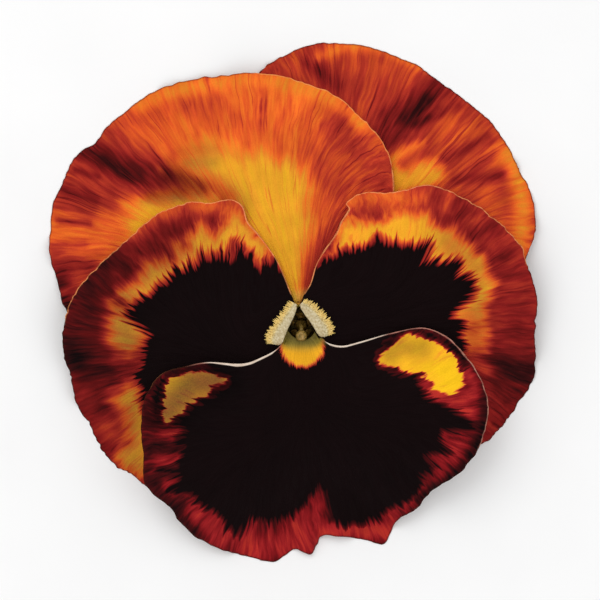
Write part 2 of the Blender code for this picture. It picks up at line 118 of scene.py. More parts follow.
# Sepals as angle and layer, their widths by share of the length, and feet as reach, height and half width
SEPALS = [(90.0, 0.0), (162.0, 0.0), (229.0, 1.3), (311.0, 1.3), (18.0, 0.0)]
SEPAL_EAR = [(4.9, 2.3), (3.9, 3.4), (3.8, 4.8), (4.6, 6.0)]
SEPAL_STATIONS = [6.5, 9.0, 12.0, 14.7, 17.0]
SEPAL_WIDTHS = [(0.0, 1.3), (0.08, 2.1), (0.24, 1.5), (0.36, 2.0), (0.6, 4.4), (0.85, 2.6), (1.0, 0.4)]
SEPAL_FOOT = [(4.0, 4.2, 0.6), (3.7, 4.3, 0.72), (3.3, 4.35, 0.85), (2.7, 4.4, 1.1)]
SEPAL_COLUMNS = 17
SEPAL_FOOT_SIDES = 24

# The receptacle as radius and drop below its top, and the stalk as reach and height
RECEPTACLE_TOP = 5.2
SEAT_PROFILE = [(3.0, 0.0), (3.1, 0.4), (2.8, 0.95), (2.3, 1.3), (1.5, 1.6), (1.0, 1.9)]
SEAT_SIDES = 60
STALK_RADIUS = 0.9
STALK_ANGLE = 126.0
STALK_COURSE = [(0.0, 4.2), (0.25, 3.0), (1.2, 1.9), (3.0, 1.25), (5.4, 0.98), (8.4, 0.94)]
STALK_SIDES = 30

# The spur
SPUR_COURSE = [(0.0, -3.4, 8.6), (0.0, -4.0, 7.4), (0.0, -4.9, 5.6), (0.0, -5.7, 3.6), (0.0, -6.0, 2.0),
               (0.0, -6.1, 1.4)]
SPUR_RADII = [0.8, 1.2, 1.2, 1.1, 0.85, 0.4]
SPUR_SIDES = 36

# Pistil and stamens, from the top of the receptacle up
ORGAN_BASE = RECEPTACLE_TOP + 0.3
PISTIL_COURSE = [(0.0, 0.0, 0.0), (0.0, 0.0, 0.8), (0.0, 0.0, 1.8), (0.0, 0.0, 2.5), (0.0, 0.0, 3.0),
                 (0.0, -0.08, 3.5), (0.05, -0.45, 3.95), (0.08, -0.9, 4.15)]
PISTIL_RADII = [(0.0, 0.45), (0.07, 0.72), (0.2, 0.85), (0.34, 0.72), (0.46, 0.4), (0.52, 0.28), (1.0, 0.26)]
PISTIL_SIDES = 24
STIGMA_RADIUS = 0.8
STIGMA_PLACE = (0.05, -1.5, 4.45)
STIGMA_MOUTH = [(0.4, 0.66), (0.3, 0.56), (0.18, 0.48), (0.06, 0.45)]
STIGMA_SIDES = 28
STAMEN_ANGLES = [90.0, 162.0, 234.0, 306.0, 18.0]
STAMEN_ROWS = 26
STAMEN_COLUMNS = 15
STAMEN_REACH = 1.52
STAMEN_HEIGHT = 3.2
STAMEN_THICKNESS = 0.42

# The picture in metres, and the camera's sensor and lens in millimetres
PICTURE_MIDDLE = (0.00089, 0.00028)
PICTURE_WIDTH = 0.084
SIGHT_HEIGHT = 0.008
SENSOR_WIDTH = 36.0
FOCAL_LENGTH = 600.0

# Floor and lamps in metres, a lamp as name, place, size and power
FLOOR_REACH = 3.0
SKY_STRENGTH = 0.86
LAMPS = [("key", (-0.35, 0.4, 0.6), 0.6, 1.7), ("fill", (0.5, -0.2, 0.6), 0.8, 0.5)]

# Petal colours on the display's scale, by the level of pigment
FLAME = [(0.00, 252, 200, 30), (0.10, 236, 164, 38), (0.20, 226, 134, 38), (0.32, 230, 108, 36),
         (0.42, 212, 82, 34), (0.54, 172, 50, 34), (0.66, 134, 28, 26), (0.78, 92, 16, 16),
         (0.88, 52, 11, 12), (1.00, 15, 5, 6)]
CRIMSON = [(0.00, 252, 196, 28), (0.14, 232, 150, 40), (0.30, 214, 92, 46), (0.46, 184, 46, 40),
           (0.58, 152, 28, 34), (0.70, 118, 16, 22), (0.82, 66, 11, 14), (1.00, 15, 5, 6)]


@dataclass(eq=False)
class Petal:
    """One petal: its outline, its waves, its markings and its painted shade and highlights.

    The outline runs from base[0] by side_a, margin and side_b to base[1]. A smear is a path, a half
    width, the value that it brings and its strength. Levels of pigment run from 0 for yellow to 1 for
    black.
    """
    name: str
    slot: str
    layer: int               # 0 lies hindmost
    claw_angle: float        # where its claw stands round the throat
    base: list
    side_a: list
    margin: list
    side_b: list
    wings: list              # two points that lead the margin on, for the ribs next to the sides
    wave: float
    wave_count: float
    droop: float             # how far the free rim hangs
    yellow: list             # closed outlines of the yellow areas
    yellow_edge: tuple       # softness of their edge, and how far the streaks swing it
    pigment: float           # level outside the yellow
    smears: list             # smears of that level
    tint: float              # level in the yellow
    streaks: float
    grain: float
    veins: float
    rim_highlight_colour: tuple
    bow: float = 0.0         # bulge of the edge at the throat
    fan: float = 0.0         # ribs drawn as curves, with this share of their length square to the margin
    turn: tuple = ()         # or straight ones that turn to the margin: amount, start and end
    blotch: tuple = ()       # closed outline of the dark blotch
    halo: tuple = ((0.0, 1.0), (1.0, 0.0))
    ragged: float = 1.5      # swing of the blotch's edge
    teeth: float = 1.3       # teeth of that edge for each millimetre
    bite: float = 1.0        # their length
    bites: tuple = ()        # smears of the length
    cuts: tuple = ()         # paths and half widths that cut through the yellow
    tints: tuple = ()        # smears of the tint
    shade: float = 1.0       # brightness: duller tissue, with painted shade and painted light in places
    shades: tuple = ()       # smears of the brightness, among them painted shade and painted light
    red: float = 0.0         # share of CRIMSON in place of FLAME
    lightest: float = 0.0    # lowest level outside the yellow
    beard: tuple = ()        # course of the pad of hairs, with its width at each point


UPPER_RIGHT = Petal(
    name="upper_petal_right", slot="petal_orange_red", layer=0, claw_angle=54.0, wave=0.75,
    wave_count=7.0, droop=0.25,
    base=[(1.9, 3.2), (3.3, 2.2)],
    side_a=[(0.5, 8.0), (-3.5, 15.0), (-7.5, 23.0), (-8.6, 30.0)],
    margin=[(-5.7, 35.6), (-1.7, 38.2), (2.1, 39.5), (6.3, 39.6), (9.5, 39.1), (13.3, 37.8), (16.0, 36.7),
        (18.5, 34.9), (21.8, 32.6), (24.1, 30.8), (26.5, 28.7), (27.9, 26.9), (29.4, 24.6), (30.8, 21.4),
        (31.8, 19.9), (32.8, 16.7), (32.9, 13.4), (31.7, 9.7)],
    side_b=[(29.0, 5.0), (22.0, 2.6), (13.0, 2.0), (6.5, 1.8)],
    wings=[(-16.0, 30.0), (27.0, -4.0)],
    yellow=[[(11.9, 23.7), (14.4, 25.1), (16.0, 25.5), (16.8, 25.2), (15.5, 23.1), (17.9, 22.8),
        (19.7, 22.0), (20.3, 20.4), (19.2, 19.6), (16.0, 18.6), (12.2, 18.1)]],
    yellow_edge=(1.3, 5.0),
    cuts=[([(14.8, 22.3), (16.7, 24.2)], 0.6)],
    tint=0.14,
    tints=[([(14.4, 22.6), (17.0, 24.5)], 1.0, 0.55, 0.9)],
    pigment=0.53,
    smears=[([(5.5, 35.0), (9.9, 30.4)], 2.5, 0.57, 0.8), ([(1.5, 36.8), (4.8, 33.5)], 1.3, 0.74, 0.9),
        ([(2.4, 37.7), (6.2, 39.2), (9.9, 39.3), (14.1, 37.8), (18.3, 35.4)], 0.9, 0.32, 0.8),
        ([(21.6, 28.0), (27.6, 24.5)], 2.0, 0.44, 0.7), ([(26.2, 18.9), (27.9, 11.9)], 1.6, 0.42, 0.8),
        ([(29.0, 24.5), (30.9, 19.6), (31.2, 14.7), (30.4, 10.5)], 1.5, 0.24, 0.95),
        ([(11.6, 25.1), (14.6, 29.0), (17.4, 31.8), (18.9, 33.6)], 2.3, 0.74, 0.9),
        ([(14.6, 29.0), (17.4, 31.8)], 1.0, 0.9, 0.9), ([(16.1, 28.1), (19.5, 30.1)], 0.7, 0.86, 0.9),
        ([(18.9, 29.8), (22.0, 30.9)], 0.8, 0.68, 0.8), ([(20.3, 23.0), (26.2, 26.5)], 0.7, 0.74, 0.8),
        ([(20.6, 19.9), (28.1, 21.0)], 0.8, 0.7, 0.8),
        # The last smear is a painted shadow, cast by the upper left petal's edge
        ([(11.6, 29.8), (12.3, 24.5), (12.7, 20.0)], 0.8, 0.68, 0.6)],
    streaks=0.5, grain=0.38, veins=0.14, fan=0.5, rim_highlight_colour=(236, 150, 92),
)
UPPER_LEFT = Petal(
    name="upper_petal_left", slot="petal_orange", layer=1, claw_angle=126.0, wave=0.8, wave_count=8.0,
    droop=1.4,
    base=[(-2.5, 3.3), (0.6, 3.5)],
    side_a=[(-6.0, 2.6), (-14.0, 1.6), (-23.0, 0.6)],
    margin=[(-31.5, 0.4), (-33.3, 2.8), (-34.3, 6.4), (-35.3, 9.7), (-35.3, 12.9), (-34.7, 17.2),
        (-32.9, 21.4), (-31.5, 23.9), (-28.8, 25.8), (-27.3, 27.9), (-24.5, 30.1), (-20.9, 32.8),
        (-15.7, 34.4), (-8.8, 35.3), (-4.3, 35.3), (-1.1, 34.6), (4.9, 32.1), (9.1, 28.4), (12.2, 24.2),
        (13.0, 19.0)],
    side_b=[(12.2, 14.0), (8.6, 8.6), (4.0, 5.0)],
    wings=[(-25.0, -12.0), (14.5, 6.0)],
    yellow=[[(-0.3, 1.0), (-4.0, 2.0), (-8.0, 8.0), (-9.6, 15.0), (-9.4, 18.2), (-11.8, 20.2),
        (-13.8, 21.4), (-16.3, 22.8), (-15.4, 24.2), (-13.9, 25.3), (-11.8, 26.0), (-9.8, 25.2),
        (-8.5, 24.2), (-5.7, 23.9), (-2.8, 22.7), (-0.8, 22.1), (0.3, 20.7), (1.1, 18.8), (0.2, 17.1),
        (0.6, 15.5), (1.4, 14.5), (0.7, 12.9), (0.2, 10.8), (-0.1, 8.7), (-0.4, 5.7), (-0.3, 3.5)],
        [(-24.2, 16.6), (-21.1, 17.7), (-17.6, 17.3), (-14.4, 17.8), (-12.0, 17.5), (-12.0, 13.3),
        (-20.9, 13.9), (-23.0, 12.5), (-24.2, 11.9), (-23.8, 14.4), (-23.4, 16.8)]],
    yellow_edge=(2.0, 6.0), tint=0.1,
    tints=[([(-16.0, 24.0), (-14.0, 24.6), (-11.5, 24.8)], 1.5, 0.25, 0.9)],
    pigment=0.385,
    smears=[([(-28.6, 25.9), (-24.6, 28.7), (-19.7, 30.4), (-14.1, 30.8)], 2.0, 0.5, 0.7),
        ([(-22.5, 30.9), (-19.0, 32.6), (-13.4, 33.7), (-7.1, 34.6), (-1.5, 34.0),
          (4.1, 32.6)], 1.1, 0.26, 0.8),
        ([(-12.0, 31.5), (-8.8, 29.0), (-5.5, 27.6)], 1.1, 0.5, 0.6),
        ([(-32.1, 12.2), (-28.1, 13.0), (-24.2, 13.3)], 2.0, 0.38, 0.8),
        # The second smear below is a painted shadow in the petal's lower left corner
        ([(-34.6, 8.8), (-29.5, 8.0)], 1.5, 0.66, 0.9), ([(-34.0, 5.5), (-32.3, 2.4)], 2.4, 0.86, 1.0),
        ([(0.6, 24.8), (4.1, 22.3), (5.2, 20.0)], 1.3, 0.46, 0.8),
        ([(6.2, 26.6), (9.4, 22.8), (12.2, 20.0)], 3.0, 0.6, 0.95),
        ([(2.8, 21.0), (4.8, 19.5), (6.2, 16.5)], 2.4, 0.55, 0.9),
        ([(6.8, 23.0), (8.4, 18.0), (10.4, 13.6)], 2.4, 0.48, 0.8),
        ([(-1.9, 33.2), (2.4, 32.5), (6.4, 30.2), (9.0, 27.8)], 1.0, 0.28, 0.7),
        ([(5.3, 15.0), (4.3, 13.4), (2.7, 10.2), (1.3, 5.6)], 1.4, 0.58, 1.0),
        ([(-21.5, 18.2), (-18.0, 18.6), (-14.0, 18.8)], 1.1, 0.4, 0.9),
        ([(-18.6, 21.2), (-16.2, 20.4), (-13.8, 19.4)], 1.2, 0.48, 0.9),
        ([(-32.8, 19.0), (-26.8, 18.0)], 2.2, 0.66, 0.85),
        ([(-30.5, 24.4), (-25.6, 22.4), (-21.6, 20.8)], 2.8, 0.77, 0.95),
        ([(-21.0, 21.4), (-19.2, 20.4)], 1.6, 0.68, 0.9), ([(-18.4, 23.0), (-19.4, 22.2)], 0.9, 0.5, 0.8),
        ([(-27.6, 23.4), (-25.0, 22.0), (-22.8, 21.2)], 1.3, 0.86, 0.9),
        ([(-33.7, 19.2), (-28.8, 17.6)], 0.6, 0.72, 0.9),
        ([(-31.8, 21.7), (-28.7, 20.7)], 0.6, 0.75, 0.9),
        ([(-34.0, 14.6), (-29.8, 14.3)], 0.6, 0.66, 0.8), ([(-35.0, 11.2), (-30.5, 11.4)], 0.7, 0.6, 0.8),
        ([(-34.5, 17.0), (-29.5, 16.0)], 0.9, 0.62, 0.8), ([(-34.0, 4.4), (-28.5, 4.8)], 0.7, 0.62, 0.8)],
    streaks=0.42, grain=0.34, veins=0.16,
    # Shades: the first is painted light on the tip that turns down into the throat, the second dulls the
    # yellow wedge, the rest are painted shade of folds left of the wedge
    shades=[([(-0.7, 3.0), (-0.4, 4.2)], 0.9, 2.8, 0.9), ([(-2.0, 8.0), (-3.5, 20.0)], 5.0, 0.88, 0.9),
        ([(-8.5, 17.2), (-11.5, 18.6)], 2.2, 0.72, 0.9), ([(-21.0, 18.0), (-17.0, 18.2)], 1.3, 0.4, 0.9),
        ([(-18.6, 21.0), (-17.0, 20.6), (-14.4, 19.2)], 1.8, 0.3, 0.95),
        ([(-17.0, 18.6), (-14.6, 19.2)], 1.1, 0.42, 0.8),
        ([(-15.6, 22.8), (-12.6, 22.8)], 1.3, 0.6, 0.95),
        ([(-17.0, 24.2), (-12.0, 24.6)], 1.0, 0.74, 0.8)],
    fan=0.5, rim_highlight_colour=(242, 154, 88),
)
SIDE_LEFT = Petal(
    name="side_petal_left", slot="petal_maroon_left", layer=2, claw_angle=198.0, wave=0.7, wave_count=7.0,
    droop=4.8,
    base=[(-0.8, 2.9), (-3.5, -4.3)],
    side_a=[(-2.4, 7.0), (-3.5, 9.3), (-5.6, 12.2), (-7.4, 14.3)],
    margin=[(-8.2, 16.6), (-10.0, 17.5), (-13.0, 17.1), (-15.7, 17.1), (-19.7, 15.8), (-23.0, 13.2),
        (-26.7, 9.9), (-30.4, 6.2), (-32.6, 2.5), (-33.5, -2.2), (-33.0, -5.3), (-32.3, -7.7),
        (-31.2, -11.8), (-29.4, -14.4), (-28.8, -16.2), (-26.2, -19.7), (-23.5, -21.3), (-21.4, -22.8)],
    side_b=[(-17.5, -21.8), (-13.0, -17.0), (-9.0, -11.0), (-5.6, -7.0)],
    wings=[(4.0, 15.0), (-10.0, -29.0)],
    beard=[(-0.72, 2.95, 0.36), (-1.32, 1.7, 0.62), (-2.15, 0.3, 0.8), (-2.85, -0.9, 1.0),
        (-3.3, -2.0, 1.05), (-3.5, -2.75, 0.8)],
    blotch=[(0.0, -0.7), (0.0, 3.2), (-1.5, 6.3), (-3.6, 9.0), (-5.2, 7.5), (-6.6, 8.7), (-7.7, 10.2),
        (-9.0, 11.1), (-10.1, 8.8), (-11.5, 9.4), (-13.9, 9.4), (-15.0, 7.8), (-17.4, 7.3), (-18.6, 5.7),
        (-19.7, 5.7), (-21.3, 3.8), (-23.0, 2.9), (-23.8, 1.4), (-22.7, 0.1), (-21.1, -1.5),
        (-21.8, -2.8), (-22.1, -5.7), (-23.0, -6.9), (-21.8, -9.5), (-22.1, -11.2), (-19.0, -13.3),
        (-9.9, -10.5), (-1.5, -4.9)],
    halo=[(0.0, 1.0), (0.07, 0.86), (0.22, 0.64), (0.48, 0.48), (0.72, 0.26), (1.0, 0.0)],
    teeth=1.8, bite=1.7,
    bites=[([(-4.0, 8.5), (-13.0, 9.5)], 3.0, 2.6, 0.9)],
    yellow=[[(-2.9, 4.9), (-4.3, 9.6), (-5.2, 12.4), (-6.8, 14.7), (-8.5, 15.6), (-10.4, 14.6),
        (-12.2, 12.9), (-14.4, 13.7), (-15.4, 12.2), (-17.6, 11.1), (-18.1, 9.4), (-20.9, 8.7),
        (-21.8, 8.4), (-23.0, 6.4), (-24.1, 5.5), (-25.3, 4.6), (-26.2, 2.9), (-26.5, 1.0), (-26.9, -0.1),
        (-26.7, -2.1), (-25.6, -3.4), (-24.1, -3.9), (-22.4, -3.1), (-19.7, -0.7), (-14.1, 4.9),
        (-7.1, 5.6)],
        [(-24.5, -8.0), (-23.0, -8.5), (-22.1, -10.1), (-19.7, -14.7), (-19.7, -21.7), (-21.8, -21.1),
        (-23.0, -21.6), (-26.2, -19.2), (-26.5, -18.3), (-24.5, -16.5), (-24.5, -14.4), (-24.8, -11.8),
        (-26.2, -10.6), (-25.9, -9.8)]],
    yellow_edge=(1.9, 5.0),
    cuts=[([(-18.1, 14.4), (-16.3, 11.3)], 0.6), ([(-27.2, 3.4), (-22.6, 2.4)], 0.9)],
    tint=0.12, pigment=0.72,
    smears=[([(-24.2, 13.0), (-20.4, 15.8), (-15.5, 16.7), (-8.8, 16.7)], 1.7, 0.4, 0.9),
        ([(-28.1, 8.8), (-30.1, 4.9), (-30.9, -0.7)], 3.6, 0.84, 0.9),
        ([(-32.1, -3.8), (-30.1, -6.8), (-26.3, -7.2)], 2.2, 0.93, 0.9),
        ([(-28.1, -11.2), (-25.6, -16.1)], 2.5, 0.64, 0.9),
        ([(-28.6, -8.2), (-27.8, -11.2)], 1.5, 0.8, 0.8),
        ([(-25.6, -4.9), (-22.5, -5.5)], 1.3, 0.64, 0.9),
        ([(-27.4, -14.6), (-24.8, -17.6)], 1.3, 0.52, 0.9),
        ([(-26.4, 2.9), (-23.0, 2.0)], 1.4, 0.64, 0.9), ([(-5.5, 14.4), (-2.8, 8.8)], 0.8, 0.6, 0.7)],
    streaks=0.5, grain=0.26, veins=0.1, red=0.15, shade=0.9,
    shades=[([(-8.0, 13.0), (-12.5, 11.5)], 3.0, 0.78, 0.9),
        ([(-17.0, 10.5), (-21.0, 7.5)], 2.8, 0.52, 0.95),
        ([(-25.0, 3.0), (-24.5, -2.0)], 2.8, 0.41, 0.95),
        ([(-23.5, -10.0), (-23.5, -19.0)], 2.2, 0.56, 0.85)],
    turn=(1.0, -0.1, 0.2), rim_highlight_colour=(238, 150, 92),
)
SIDE_RIGHT = Petal(
    name="side_petal_right", slot="petal_maroon_right", layer=2, claw_angle=342.0, wave=0.7,
    wave_count=7.0, droop=4.6,
    base=[(-0.05, 3.0), (3.8, -3.8)],
    side_a=[(0.5, 4.4), (1.3, 5.8), (2.1, 8.4), (3.2, 10.3), (4.8, 12.5), (5.6, 14.3), (6.7, 16.1)],
    margin=[(6.3, 17.0), (7.2, 17.8), (8.8, 18.5), (12.7, 18.6), (17.1, 19.5), (19.5, 19.3), (23.0, 17.7),
        (26.5, 15.4), (30.2, 11.9), (31.5, 9.4), (33.2, 3.4), (32.8, -0.7), (33.0, -3.9), (32.6, -7.7),
        (30.2, -11.5), (27.9, -14.7), (25.3, -16.7)],
    side_b=[(21.0, -16.0), (15.0, -11.0), (9.0, -7.0)],
    wings=[(-5.0, 16.0), (15.0, -25.0)],
    beard=[(-0.02, 3.0, 0.5), (1.15, 1.8, 0.9), (2.15, 0.6, 1.0), (3.0, -0.7, 1.1), (3.3, -1.6, 0.8)],
    blotch=[(-0.3, -0.7), (-0.2, 3.4), (0.7, 5.9), (1.7, 7.9), (3.4, 8.4), (5.0, 9.7), (6.3, 9.9),
        (8.0, 10.5), (10.1, 11.1), (10.6, 12.2), (12.3, 10.8), (14.1, 11.1), (16.0, 10.5), (17.5, 11.1),
        (16.8, 8.4), (18.6, 8.7), (21.8, 8.4), (21.1, 6.7), (23.5, 6.2), (24.1, 4.9), (23.0, 3.8),
        (21.7, 2.8), (20.9, 0.8), (22.4, -0.1), (21.7, -1.0), (22.4, -2.7), (21.6, -5.6), (13.9, -6.3),
        (4.1, -3.5)],
    halo=[(0.0, 1.0), (0.07, 0.86), (0.25, 0.66), (0.5, 0.5), (0.75, 0.3), (1.0, 0.0)],
    teeth=1.8, bite=1.7,
    yellow=[[(4.1, 8.8), (5.0, 11.1), (5.3, 13.2), (6.6, 15.5), (7.4, 14.8), (10.6, 14.6), (12.7, 15.1),
        (13.9, 15.8), (16.0, 15.3), (17.6, 15.8), (18.6, 13.7), (21.1, 13.2), (22.7, 12.3), (23.8, 10.5),
        (25.9, 9.4), (26.2, 7.6), (27.0, 6.2), (26.5, 4.3), (25.6, 2.7), (25.3, 0.4), (23.7, 0.0),
        (20.9, 0.4), (18.1, 3.5), (8.3, 6.3)],
        [(22.0, -0.7), (23.7, -0.4), (25.9, -0.7), (26.2, -2.1), (25.9, -3.4), (23.7, -3.8),
        (21.7, -2.8)]],
    yellow_edge=(1.3, 5.0), tint=0.11,
    tints=[([(23.4, 0.6), (24.2, -2.8)], 1.9, 0.34, 0.9), ([(21.0, 11.5), (24.8, 7.0)], 1.8, 0.18, 0.9)],
    pigment=0.64,
    smears=[([(7.1, 17.5), (11.8, 18.1), (17.4, 17.5)], 1.9, 0.36, 0.9),
        ([(19.5, 17.5), (24.5, 13.0)], 2.1, 0.62, 0.9), ([(29.0, 8.0), (29.5, 0.7)], 3.6, 0.65, 0.9),
        ([(26.7, -5.9), (32.6, -6.6)], 2.6, 0.92, 0.9), ([(26.4, -9.0), (30.8, -9.6)], 1.6, 0.82, 0.8),
        ([(25.9, -12.6), (29.5, -13.3)], 2.5, 0.74, 0.8), ([(23.4, -4.1), (25.9, -6.3)], 1.2, 0.54, 0.8),
        ([(6.6, 16.4), (4.3, 11.9)], 0.7, 0.5, 0.7), ([(21.0, 15.0), (23.9, 15.8)], 0.7, 0.72, 0.8),
        ([(23.5, 11.9), (27.2, 14.0)], 0.8, 0.76, 0.85), ([(21.6, 16.2), (22.3, 17.6)], 0.6, 0.7, 0.7),
        ([(20.3, 16.4), (20.8, 18.2)], 0.9, 0.44, 0.7), ([(24.4, 14.6), (26.0, 15.6)], 0.8, 0.46, 0.7),
        ([(27.0, 11.0), (29.6, 12.2)], 0.9, 0.48, 0.7), ([(27.0, 6.8), (32.6, 7.2)], 0.5, 0.76, 0.7),
        ([(27.2, 3.6), (32.6, 3.4)], 0.5, 0.74, 0.6), ([(27.0, -1.2), (32.6, -1.4)], 0.6, 0.76, 0.7),
        ([(26.0, -8.8), (26.6, -13.4)], 1.2, 0.62, 0.6)],
    streaks=0.55, grain=0.3, veins=0.1, red=0.1,
    shades=[([(20.0, 12.0), (24.5, 8.5)], 2.2, 0.68, 0.9), ([(24.5, 5.0), (24.5, -2.0)], 2.0, 0.66, 0.9)],
    fan=0.95, rim_highlight_colour=(240, 152, 96),
)
LOWER = Petal(
    name="lower_petal", slot="petal_blotched", layer=3, claw_angle=270.0, wave=0.7, wave_count=9.0,
    droop=5.6, bow=1.35,
    base=[(-2.0, -0.9), (2.2, -0.9)],
    side_a=[(-3.1, -3.1), (-5.7, -4.6), (-8.3, -5.4), (-13.0, -5.2), (-16.2, -5.8)],
    margin=[(-19.5, -6.9), (-21.8, -10.1), (-22.4, -13.9), (-22.1, -17.9), (-21.6, -22.7), (-18.3, -25.6),
        (-17.1, -27.7), (-14.4, -30.0), (-11.8, -31.2), (-6.3, -33.0), (-3.6, -33.2), (-0.7, -31.6),
        (1.3, -32.3), (2.2, -30.9), (3.4, -29.7), (9.1, -30.2), (11.8, -30.8), (13.4, -27.6),
        (16.0, -25.9), (18.6, -23.1), (22.4, -20.5), (25.1, -16.7), (26.2, -11.7), (25.1, -7.4),
        (22.7, -3.9), (20.5, -1.8)],
    side_b=[(17.1, -0.4), (12.7, -1.1), (8.0, -2.4), (5.6, -2.9), (3.4, -2.3)],
    wings=[(-14.5, 2.0), (13.0, 6.0)],
    blotch=[(-0.1, -0.7), (-8.5, -3.8), (-13.4, -4.7), (-17.0, -5.9), (-20.2, -8.6), (-20.6, -11.5),
        (-19.6, -13.9), (-17.0, -13.8), (-16.5, -14.3), (-16.0, -15.1), (-16.5, -15.7), (-17.9, -16.5),
        (-16.2, -17.0), (-16.8, -18.9), (-17.3, -20.0), (-19.7, -20.4), (-17.0, -21.1), (-16.2, -22.1),
        (-17.9, -23.4), (-15.2, -23.6), (-13.7, -25.1), (-11.8, -26.2), (-10.3, -27.7), (-9.3, -29.4),
        (-8.6, -28.5), (-6.9, -26.6), (-5.0, -27.4), (-3.5, -27.4), (-1.6, -26.2), (0.3, -25.1),
        (1.8, -23.6), (2.7, -22.5), (3.5, -23.2), (3.9, -25.1), (4.1, -27.4), (5.9, -27.5), (8.6, -28.1),
        (10.1, -27.0), (12.5, -25.8), (14.5, -24.8), (15.8, -23.8), (16.8, -21.8), (16.5, -20.6),
        (18.8, -20.0), (17.6, -18.8), (17.3, -18.0), (20.6, -17.8), (19.6, -16.8), (19.1, -15.5),
        (19.6, -14.5), (22.3, -14.9), (24.6, -14.8), (24.6, -14.0), (23.3, -13.3), (21.8, -12.3),
        (20.3, -11.5), (18.8, -10.9), (17.6, -10.5), (16.4, -9.5), (16.0, -8.2), (15.8, -6.7),
        (19.0, -5.5), (22.4, -5.8), (23.4, -5.0), (20.4, -2.4), (16.0, -0.6), (9.7, -1.6), (4.1, -2.1)],
    halo=[(0.0, 1.0), (0.12, 0.93), (0.4, 0.83), (0.75, 0.68), (1.0, 0.0)],
    ragged=2.6, teeth=2.0, bite=1.2,
    bites=[([(-11.0, -8.0), (-18.5, -10.0)], 3.0, 0.75, 1.0),
        ([(11.5, -4.0), (18.0, -4.5), (22.0, -8.0)], 3.0, 0.75, 1.0)],
    yellow=[[(10.9, -4.7), (11.2, -4.0), (12.3, -3.5), (12.2, -2.9), (13.3, -2.5), (14.2, -1.7),
        (14.9, -1.3), (15.9, -1.5), (16.9, -1.5), (17.6, -2.1), (18.4, -2.4), (19.2, -2.7), (20.1, -3.3),
        (21.0, -3.6), (21.6, -4.2), (21.9, -5.0), (21.8, -5.8), (21.8, -6.7), (21.7, -7.5), (22.1, -8.2),
        (21.7, -8.9), (21.5, -9.2), (20.9, -9.8), (20.3, -9.4), (19.6, -8.7), (18.7, -8.2), (17.9, -7.6),
        (17.4, -7.1), (17.6, -6.8), (16.7, -6.7), (15.2, -6.6), (13.9, -6.4), (12.4, -6.0), (11.7, -5.5),
        (11.1, -5.4)],
        [(-18.2, -7.3), (-16.7, -7.0), (-15.8, -6.4), (-14.6, -6.0), (-13.7, -6.2), (-12.8, -6.7),
        (-11.7, -7.0), (-10.4, -7.5), (-10.9, -8.3), (-11.7, -8.7), (-12.4, -8.9), (-12.6, -9.5),
        (-13.1, -9.8), (-13.9, -10.2), (-14.4, -10.5), (-15.3, -10.8), (-16.0, -11.0), (-16.3, -11.5),
        (-16.5, -12.1), (-17.3, -12.5), (-18.0, -13.2), (-18.7, -13.8), (-19.3, -13.1), (-19.5, -12.3),
        (-19.3, -11.4), (-19.1, -10.5), (-18.9, -9.6), (-18.9, -8.7), (-18.7, -7.9)]],
    yellow_edge=(0.3, 6.0), tint=0.05,
    tints=[([(-12.0, -8.0), (-18.5, -12.0)], 3.5, 0.12, 1.0),
        ([(19.5, -6.0), (21.8, -8.6)], 1.6, 0.0, 0.9)],
    pigment=0.8,
    smears=[([(-14.4, -26.7), (-7.1, -30.8), (-0.1, -30.8)], 3.1, 0.55, 0.9),
        ([(1.5, -24.5), (2.4, -28.7)], 1.7, 0.62, 0.9), ([(4.6, -29.0), (12.2, -29.0)], 1.5, 0.45, 0.9),
        ([(12.5, -26.5), (15.3, -24.5)], 1.3, 0.55, 0.8),
        ([(20.6, -10.5), (22.5, -13.3), (20.9, -18.2), (18.3, -22.0)], 2.6, 0.62, 0.9),
        ([(17.8, -9.0), (21.0, -11.0), (23.4, -12.0)], 1.4, 0.47, 0.9),
        ([(23.8, -3.2), (25.5, -7.5), (26.2, -11.2), (25.8, -14.6)], 0.9, 0.88, 0.9),
        ([(23.4, -6.6), (24.2, -9.0), (24.0, -11.0)], 0.8, 0.6, 0.85),
        ([(22.4, -10.2), (23.4, -9.9)], 0.5, 0.5, 0.7),
        ([(25.2, -15.5), (24.0, -18.0), (22.4, -20.4), (20.3, -22.4), (16.6, -24.4)], 0.9, 0.95, 0.95),
        ([(20.5, -12.2), (24.5, -13.6)], 0.4, 0.84, 0.7),
        ([(20.8, -15.6), (24.0, -16.4)], 0.4, 0.84, 0.7),
        ([(-19.2, -15.1), (-16.1, -15.3)], 1.1, 0.56, 0.9),
        ([(-20.9, -19.2), (-16.7, -19.2)], 1.4, 0.56, 0.9),
        ([(-19.5, -22.3), (-16.1, -22.3)], 1.1, 0.6, 0.9),
        ([(-21.7, -11.9), (-21.7, -17.5), (-20.9, -21.7)], 1.1, 0.8, 0.8),
        ([(-21.8, -17.2), (-16.5, -17.3)], 0.6, 0.9, 0.8),
        ([(-21.8, -13.6), (-17.0, -13.3)], 0.6, 0.88, 0.7),
        ([(-21.5, -20.8), (-16.5, -20.9)], 0.6, 0.9, 0.8),
        ([(-21.5, -20.5), (-19.0, -24.8), (-16.5, -27.7), (-14.0, -29.9)], 1.1, 0.9, 0.95)],
    streaks=0.9, grain=0.45, veins=0.08, red=0.85, lightest=0.49,
    # Shades: duller tissue on the two yellow spots, and painted shade round the rim of the throat's hollow
    shades=[([(12.5, -4.2), (14.0, -3.2), (17.0, -3.2)], 1.7, 0.56, 0.9),
        ([(-12.0, -7.6), (-15.5, -8.2), (-18.5, -12.0)], 3.6, 0.28, 1.0),
        ([(-2.0, -1.2), (-1.2, -1.9), (0.1, -2.2), (1.4, -1.9), (2.2, -1.2)], 0.65, 0.5, 0.9)],
    turn=(0.85, 0.0, 0.3), rim_highlight_colour=(198, 138, 120),
)
PETALS = [UPPER_RIGHT, UPPER_LEFT, SIDE_LEFT, SIDE_RIGHT, LOWER]


